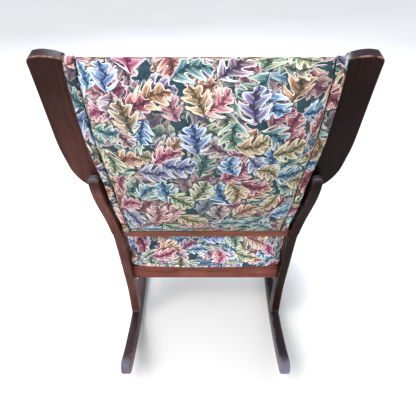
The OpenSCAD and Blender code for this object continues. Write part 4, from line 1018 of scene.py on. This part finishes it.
def cloth_strip(name, node, surface, frame_axes, shift, voxel=2.5 * MM, rounds=3):
    """A padded strip of cloth from its CAD solid, softened and given its weave."""
    thing = remeshed(name, node, voxel)
    co = points_of(thing.data)
    set_points(thing.data, smoothed(co, edges_of(thing.data), np.ones(len(co)), rounds))
    thing.data.update()
    thing.data.shade_smooth()
    cloth_map(thing.data, *frame_axes, shift)
    stand_in(thing, surface, node)
    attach(thing, "root")
    return thing


for number, node in enumerate(("left_back_band", "right_back_band", "top_back_band")):
    axes = TOP_AXES if node == "top_back_band" else OUTSIDE_AXES
    band = cloth_strip(node + "_cloth", node, PRINT_BAND, axes,
                       (0.13 * number, 0.07 * number))
gimp = cloth_strip("seat_gimp_cloth", "seat_gimp", PRINT_BAND, SEAT_AXES,
                   (0.5, 0.1), 1.2 * MM, 1)


# Half the dust cover's width and its length, the spacing of the cuts that let it sag, how
# far it sags, and its puckers' height and spacing across and along
COVER_HALF = 0.24
COVER_LENGTH = 0.42
COVER_PITCH = 12 * MM
COVER_SAG = 3.5 * MM
PUCKER = 0.5 * MM
PUCKER_PITCH = (0.045, 0.047)


def make_dust_cover():
    """The thin cloth tacked under the seat, which sags a little and puckers at its tacks."""
    bm = welded("dust_cover")
    axes = [np.array(a, float) for a in (ACROSS, SEAT_REAR, SEAT_UP)]
    origin = np.array(SEAT_ORIGIN, float)
    for axis, low, high in ((0, -COVER_HALF, COVER_HALF), (1, -COVER_LENGTH, 0.0)):
        for place in np.arange(low + COVER_PITCH / 2, high, COVER_PITCH):
            cut_along_plane(bm, Vector(origin + axes[axis] * place), Vector(axes[axis]))
    for v in bm.verts:
        x, y, _ = (float((np.array(v.co) - origin) @ a) for a in axes)
        fx = min(abs(x) / COVER_HALF, 1)
        fy = min(abs(y + COVER_LENGTH / 2) * 2 / COVER_LENGTH, 1)
        sag = (1 - fx ** 4) * (1 - fy ** 4)
        pucker = math.prod(math.sin(p * 2 * math.pi / pitch)
                           for p, pitch in zip((x, y), PUCKER_PITCH))
        v.co += Vector(axes[2]) * (-COVER_SAG * sag + PUCKER * pucker * max(sag, 0))
    mesh = mesh_from(bm, "dust_cover_cloth")
    cover = linked("dust_cover_cloth", mesh)
    stand_in(cover, BLACK_CLOTH, "dust_cover")
    cloth_map(mesh, *SEAT_AXES)
    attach(cover, "root")


make_dust_cover()


# Floor, light and air

def make_floor():
    mesh = bpy.data.meshes.new("floor")
    reach = 9.0  # metres to each side
    mesh.from_pydata([(-reach, -reach, 0), (reach, -reach, 0), (reach, reach, 0),
                      (-reach, reach, 0)], [], [(0, 1, 2, 3)])
    floor = linked("floor", mesh)
    made, g, shader = material("floor")
    place = g.node("ShaderNodeTexCoord").outputs["Object"]
    g.put(shader, "Base Color", g.ramp(g.noise(place, 1.5, 2.0),
                                       [(0.3, srgb(243, 243, 243)), (0.7, srgb(247, 247, 247))]))
    shader.inputs["Roughness"].default_value = 0.95
    shader.inputs["Specular IOR Level"].default_value = 0.1
    shader.inputs["Emission Color"].default_value = (1, 1, 1, 1)
    shader.inputs["Emission Strength"].default_value = 0.07
    mesh.materials.append(made)


def area_light(name, place, target, size, power, colour):
    data = bpy.data.lights.new(name, "AREA")
    data.shape = "SQUARE"
    data.size = size
    data.energy = power
    data.color = colour
    light = linked(name, data)
    light.location = place
    light.rotation_euler = (Vector(target) - Vector(place)).to_track_quat("-Z", "Y").to_euler()


def make_light():
    world = bpy.data.worlds.new("studio")
    bpy.context.scene.world = world
    world.use_nodes = True
    back = world.node_tree.nodes["Background"]
    back.inputs["Color"].default_value = (0.93, 0.96, 1.0, 1)
    back.inputs["Strength"].default_value = 0.8
    area_light("key", (1.2, 1.7, 2.3), (0, 0.1, 0.5), 1.6, 62, (1.0, 0.97, 0.94))
    area_light("window", (0.5, -1.9, 2.3), (0, 0.1, 0.8), 0.9, 90, (0.82, 0.91, 1.0))


make_floor()
make_light()
bpy.context.scene.view_settings.view_transform = "Standard"
